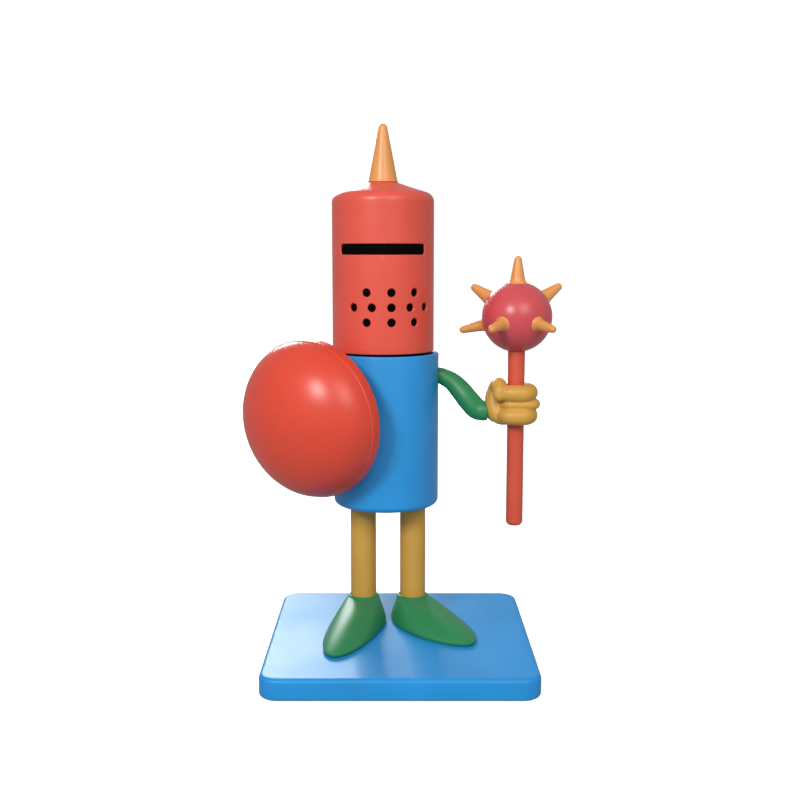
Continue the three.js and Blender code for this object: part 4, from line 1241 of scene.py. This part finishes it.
def strap_ring(bm, inset, depth):
    """One level outline of the strap: the edge of a band stretched round its three discs."""
    ring = []
    sides = 120
    for k in range(sides):
        angle = FULL_TURN * k / sides
        way = Vector((math.cos(angle), math.sin(angle)))
        x, y, radius = max(STRAP_DISCS, key=lambda disc: way.dot(Vector(disc[:2])) + disc[2])
        spot = Vector((x, y)) + way * (radius - inset)
        ring.append(bm.verts.new((spot.x * MM, spot.y * MM, depth * MM)))
    return ring


def shield_handle():
    edge = STRAP_EDGE
    levels = [(edge, STRAP_BACK), (edge * 0.3, STRAP_BACK + edge * 0.3), (0, STRAP_BACK + edge)]
    levels += [(0, STRAP_FRONT - edge), (edge * 0.3, STRAP_FRONT - edge * 0.3), (edge, STRAP_FRONT)]
    bm = bmesh.new()
    rings = [strap_ring(bm, inset, depth) for inset, depth in levels]
    join_rings(bm, rings)
    bm.faces.new(rings[0])
    bm.faces.new(rings[-1])
    bmesh.ops.transform(bm, matrix=shield_place(), verts=bm.verts[:])
    piece = looks_for("shield_handle", bm, "black_plastic", "shield_hand")
    bar = bmesh.new()
    first, last = BAR_POSTS
    line = rounded(
        [(0, first - POST_R), (BAR_R, first - POST_R, 0.9), (BAR_R, last + POST_R, 0.9), (0, last + POST_R)]
    )
    turn = Matrix.Rotation(math.pi / 2, 4, "Y")
    spin(bar, line, SMALL_SIDES, shield_place() @ at(0, BAR_DROP * MM, BAR_DEPTH * MM) @ turn)
    boolean(piece, bar, "UNION")
    for x in BAR_POSTS:
        post = bmesh.new()
        line = [(0, BAR_DEPTH), (POST_R, BAR_DEPTH)] + post_foot() + [(0, STRAP_BACK + 1.0)]
        spin(post, line, SMALL_SIDES, shield_place() @ at(x * MM, BAR_DROP * MM, 0))
        boolean(piece, post, "UNION")
    hole = bmesh.new()
    spin(hole, plug_line(HUB_HOLE_R, -6, 2), SMALL_SIDES, shield_place())
    boolean(piece, hole)
    piece.data.materials[0] = moulded("handle_plastic", (0.018, 0.018, 0.020), 0.45, 1000.0, 0.4)
    return piece


def post_foot():
    """The top of a post, which flares out to the strap."""
    fillet = 0.9
    line = []
    for k in range(7):
        angle = math.pi / 2 * k / 6
        out = fillet * (1 - math.cos(angle))
        line.append((POST_R + out, STRAP_BACK - fillet * (1 - math.sin(angle))))
    return line + [(POST_R + fillet, STRAP_BACK + 1.0)]


def hub_washer():
    inner, outer = WASHER_RADII
    back, front = WASHER_DEPTHS
    sides = [(inner, back, 0.15), (outer, back, 0.2), (outer, front, 0.2), (inner, front)]
    bm = bmesh.new()
    spin_ring(bm, rounded([(inner, front)] + sides, 3)[1:], MID_SIDES, shield_place())
    return looks_for("shield_hub_washer", bm, "natural_plastic", "shield")


def hub_screw():
    """A pan head screw with a cross recess, whose head lies against the strap."""
    seat = STRAP_BACK - 0.1
    back = seat - SCREW_HEAD_HIGH
    head = [(0, back), (1.6, back + 0.05, 1.2), (SCREW_HEAD_R, back + 0.8, 0.7), (SCREW_HEAD_R, seat, 0.15)]
    line = rounded(head + [(SCREW_R, seat), (SCREW_R, 10.5), (0, 11.0)], steps=6)
    piece = turned("shield_hub_screw", line, MID_SIDES, shield_place(), "steel", "shield")
    cross = bmesh.new()
    for long, wide in (RECESS, RECESS[::-1]):
        made = bmesh.ops.create_cube(cross, size=1)["verts"]
        size = Matrix.Diagonal((long * MM, wide * MM, 2.2 * MM, 1))
        bmesh.ops.transform(cross, matrix=shield_place() @ at(0, 0, back * MM) @ size, verts=made)
    boolean(piece, cross)
    return piece


# ---- camera, light and floor ----

CAMERA_AT = (-0.0009, -0.4174, 0.156)
CAMERA_TILT = math.radians(90 - 7.66)
LENS_MM = 50
SENSOR_MM = 36


def camera():
    data = bpy.data.cameras.new("camera")
    data.lens = LENS_MM
    data.sensor_fit = "HORIZONTAL"
    data.sensor_width = SENSOR_MM
    data.clip_start = 0.01
    eye = add_object("camera", data)
    eye.location = CAMERA_AT
    eye.rotation_euler = (CAMERA_TILT, 0, 0)
    bpy.context.scene.camera = eye


def softbox(name, place, target, size, power, colour=(1, 1, 1)):
    data = bpy.data.lights.new(name, "AREA")
    data.shape = "RECTANGLE"
    data.size, data.size_y = size
    data.energy = power
    data.color = colour
    lamp = add_object(name, data)
    lamp.location = place
    lamp.rotation_euler = (Vector(target) - Vector(place)).to_track_quat("-Z", "Y").to_euler()
    lamp.visible_camera = False


# Directions from the figure to the lights: two at the front and a strong one behind it on the left.
FRONT_LEFT = Vector((-0.40, -0.78, 0.48))
FRONT_RIGHT = Vector((0.33, -0.78, 0.53))
BACK_LEFT = Vector((-0.21, 0.88, 0.43))
LIT_POINT = Vector((0, 0, 0.10))


def studio():
    world = bpy.data.worlds.new("studio")
    world.use_nodes = True
    backdrop = world.node_tree.nodes["Background"]
    backdrop.inputs["Color"].default_value = (0.94, 0.97, 1.0, 1)
    backdrop.inputs["Strength"].default_value = 0.40
    bpy.context.scene.world = world
    softbox("front_left", LIT_POINT + FRONT_LEFT * 0.9, LIT_POINT, (0.21, 0.21), 4.1)
    softbox("front_right", LIT_POINT + FRONT_RIGHT * 0.9, LIT_POINT, (0.44, 0.44), 2.6)
    softbox("back_left", BACK_LEFT * 1.1, (0, 0, 0.02), (0.34, 0.30), 4.6, (0.93, 0.97, 1.0))
    view = bpy.context.scene.view_settings
    view.view_transform = "Standard"
    view.look = "None"


FLOOR_R = 1.4
WALL_R = 2.2
WALL_BEND = 0.8


def surround(name, line):
    """A round part of the pale studio, turned from (radius, height) points in metres."""
    bm = bmesh.new()
    spin(bm, [(r / MM, z / MM) for r, z in line], 96)
    for face in bm.faces:
        face.smooth = True
    part = mesh_object(name, bm)
    part.data.materials.append(FINISH["floor"])
    # The camera sees it, and it takes shadows, but it throws no light back on the figure.
    part.visible_glossy = False
    part.visible_diffuse = False
    return part


def pale_studio():
    """A floor, and a wall all round it that curves up from it."""
    surround("floor", [(0, 0), (FLOOR_R, 0)])
    bend = [math.pi / 2 * k / 16 for k in range(17)]
    curve = [(FLOOR_R + WALL_BEND * math.sin(a), WALL_BEND * (1 - math.cos(a))) for a in bend]
    surround("wall", curve + [(WALL_R, WALL_R)]).visible_shadow = False


# ---- assembly ----

camera()
studio()
pale_studio()

base_shell()
flat_sheet("base_cover", "black_plastic", 0.2)
flat_sheet("base_pad", "foam", 0.25)
for side in SHOE_SHAPES:
    leg(side)
    shoe(side)
body_shell()
# The lid, washer and plug are real black parts, and their black also adds painted shade to the thin gap under the
# helmet.
turned_ring("body_lid", "black_plastic", "figure", 0.3)
turned_ring("neck_washer", "black_plastic", "figure", 0.15, inner=4.3)
turned_ring("helmet_plug", "black_plastic", "helmet", 0.4, inner=4.3)
helmet_shell()
helmet_liner()
crest()
arm("mace")
arm("shield")

fist("mace_fist", "mace_hand", joint_at("mace_wrist"), box_radius("mace_shaft") + GRIP_GAP)
fist("shield_fist", "shield_hand", shield_hand_place(), BAR_R + GRIP_GAP, mirrored=True)
mace_shaft()
mace_ball()
for number, (azimuth, elevation, sizes) in enumerate(SPIKES, 1):
    spike(number, azimuth, elevation, sizes)
shield_shell()
shield_back()
shield_handle()
hub_washer()
hub_screw()

# CAD nodes whose shape is kept take their finish from their slot.
for entry in frame["record"]["subparts"]:
    node = frame["nodes"][entry["node"]]
    node.data.materials.clear()
    node.data.materials.append(FINISH[entry["material_slot"]])
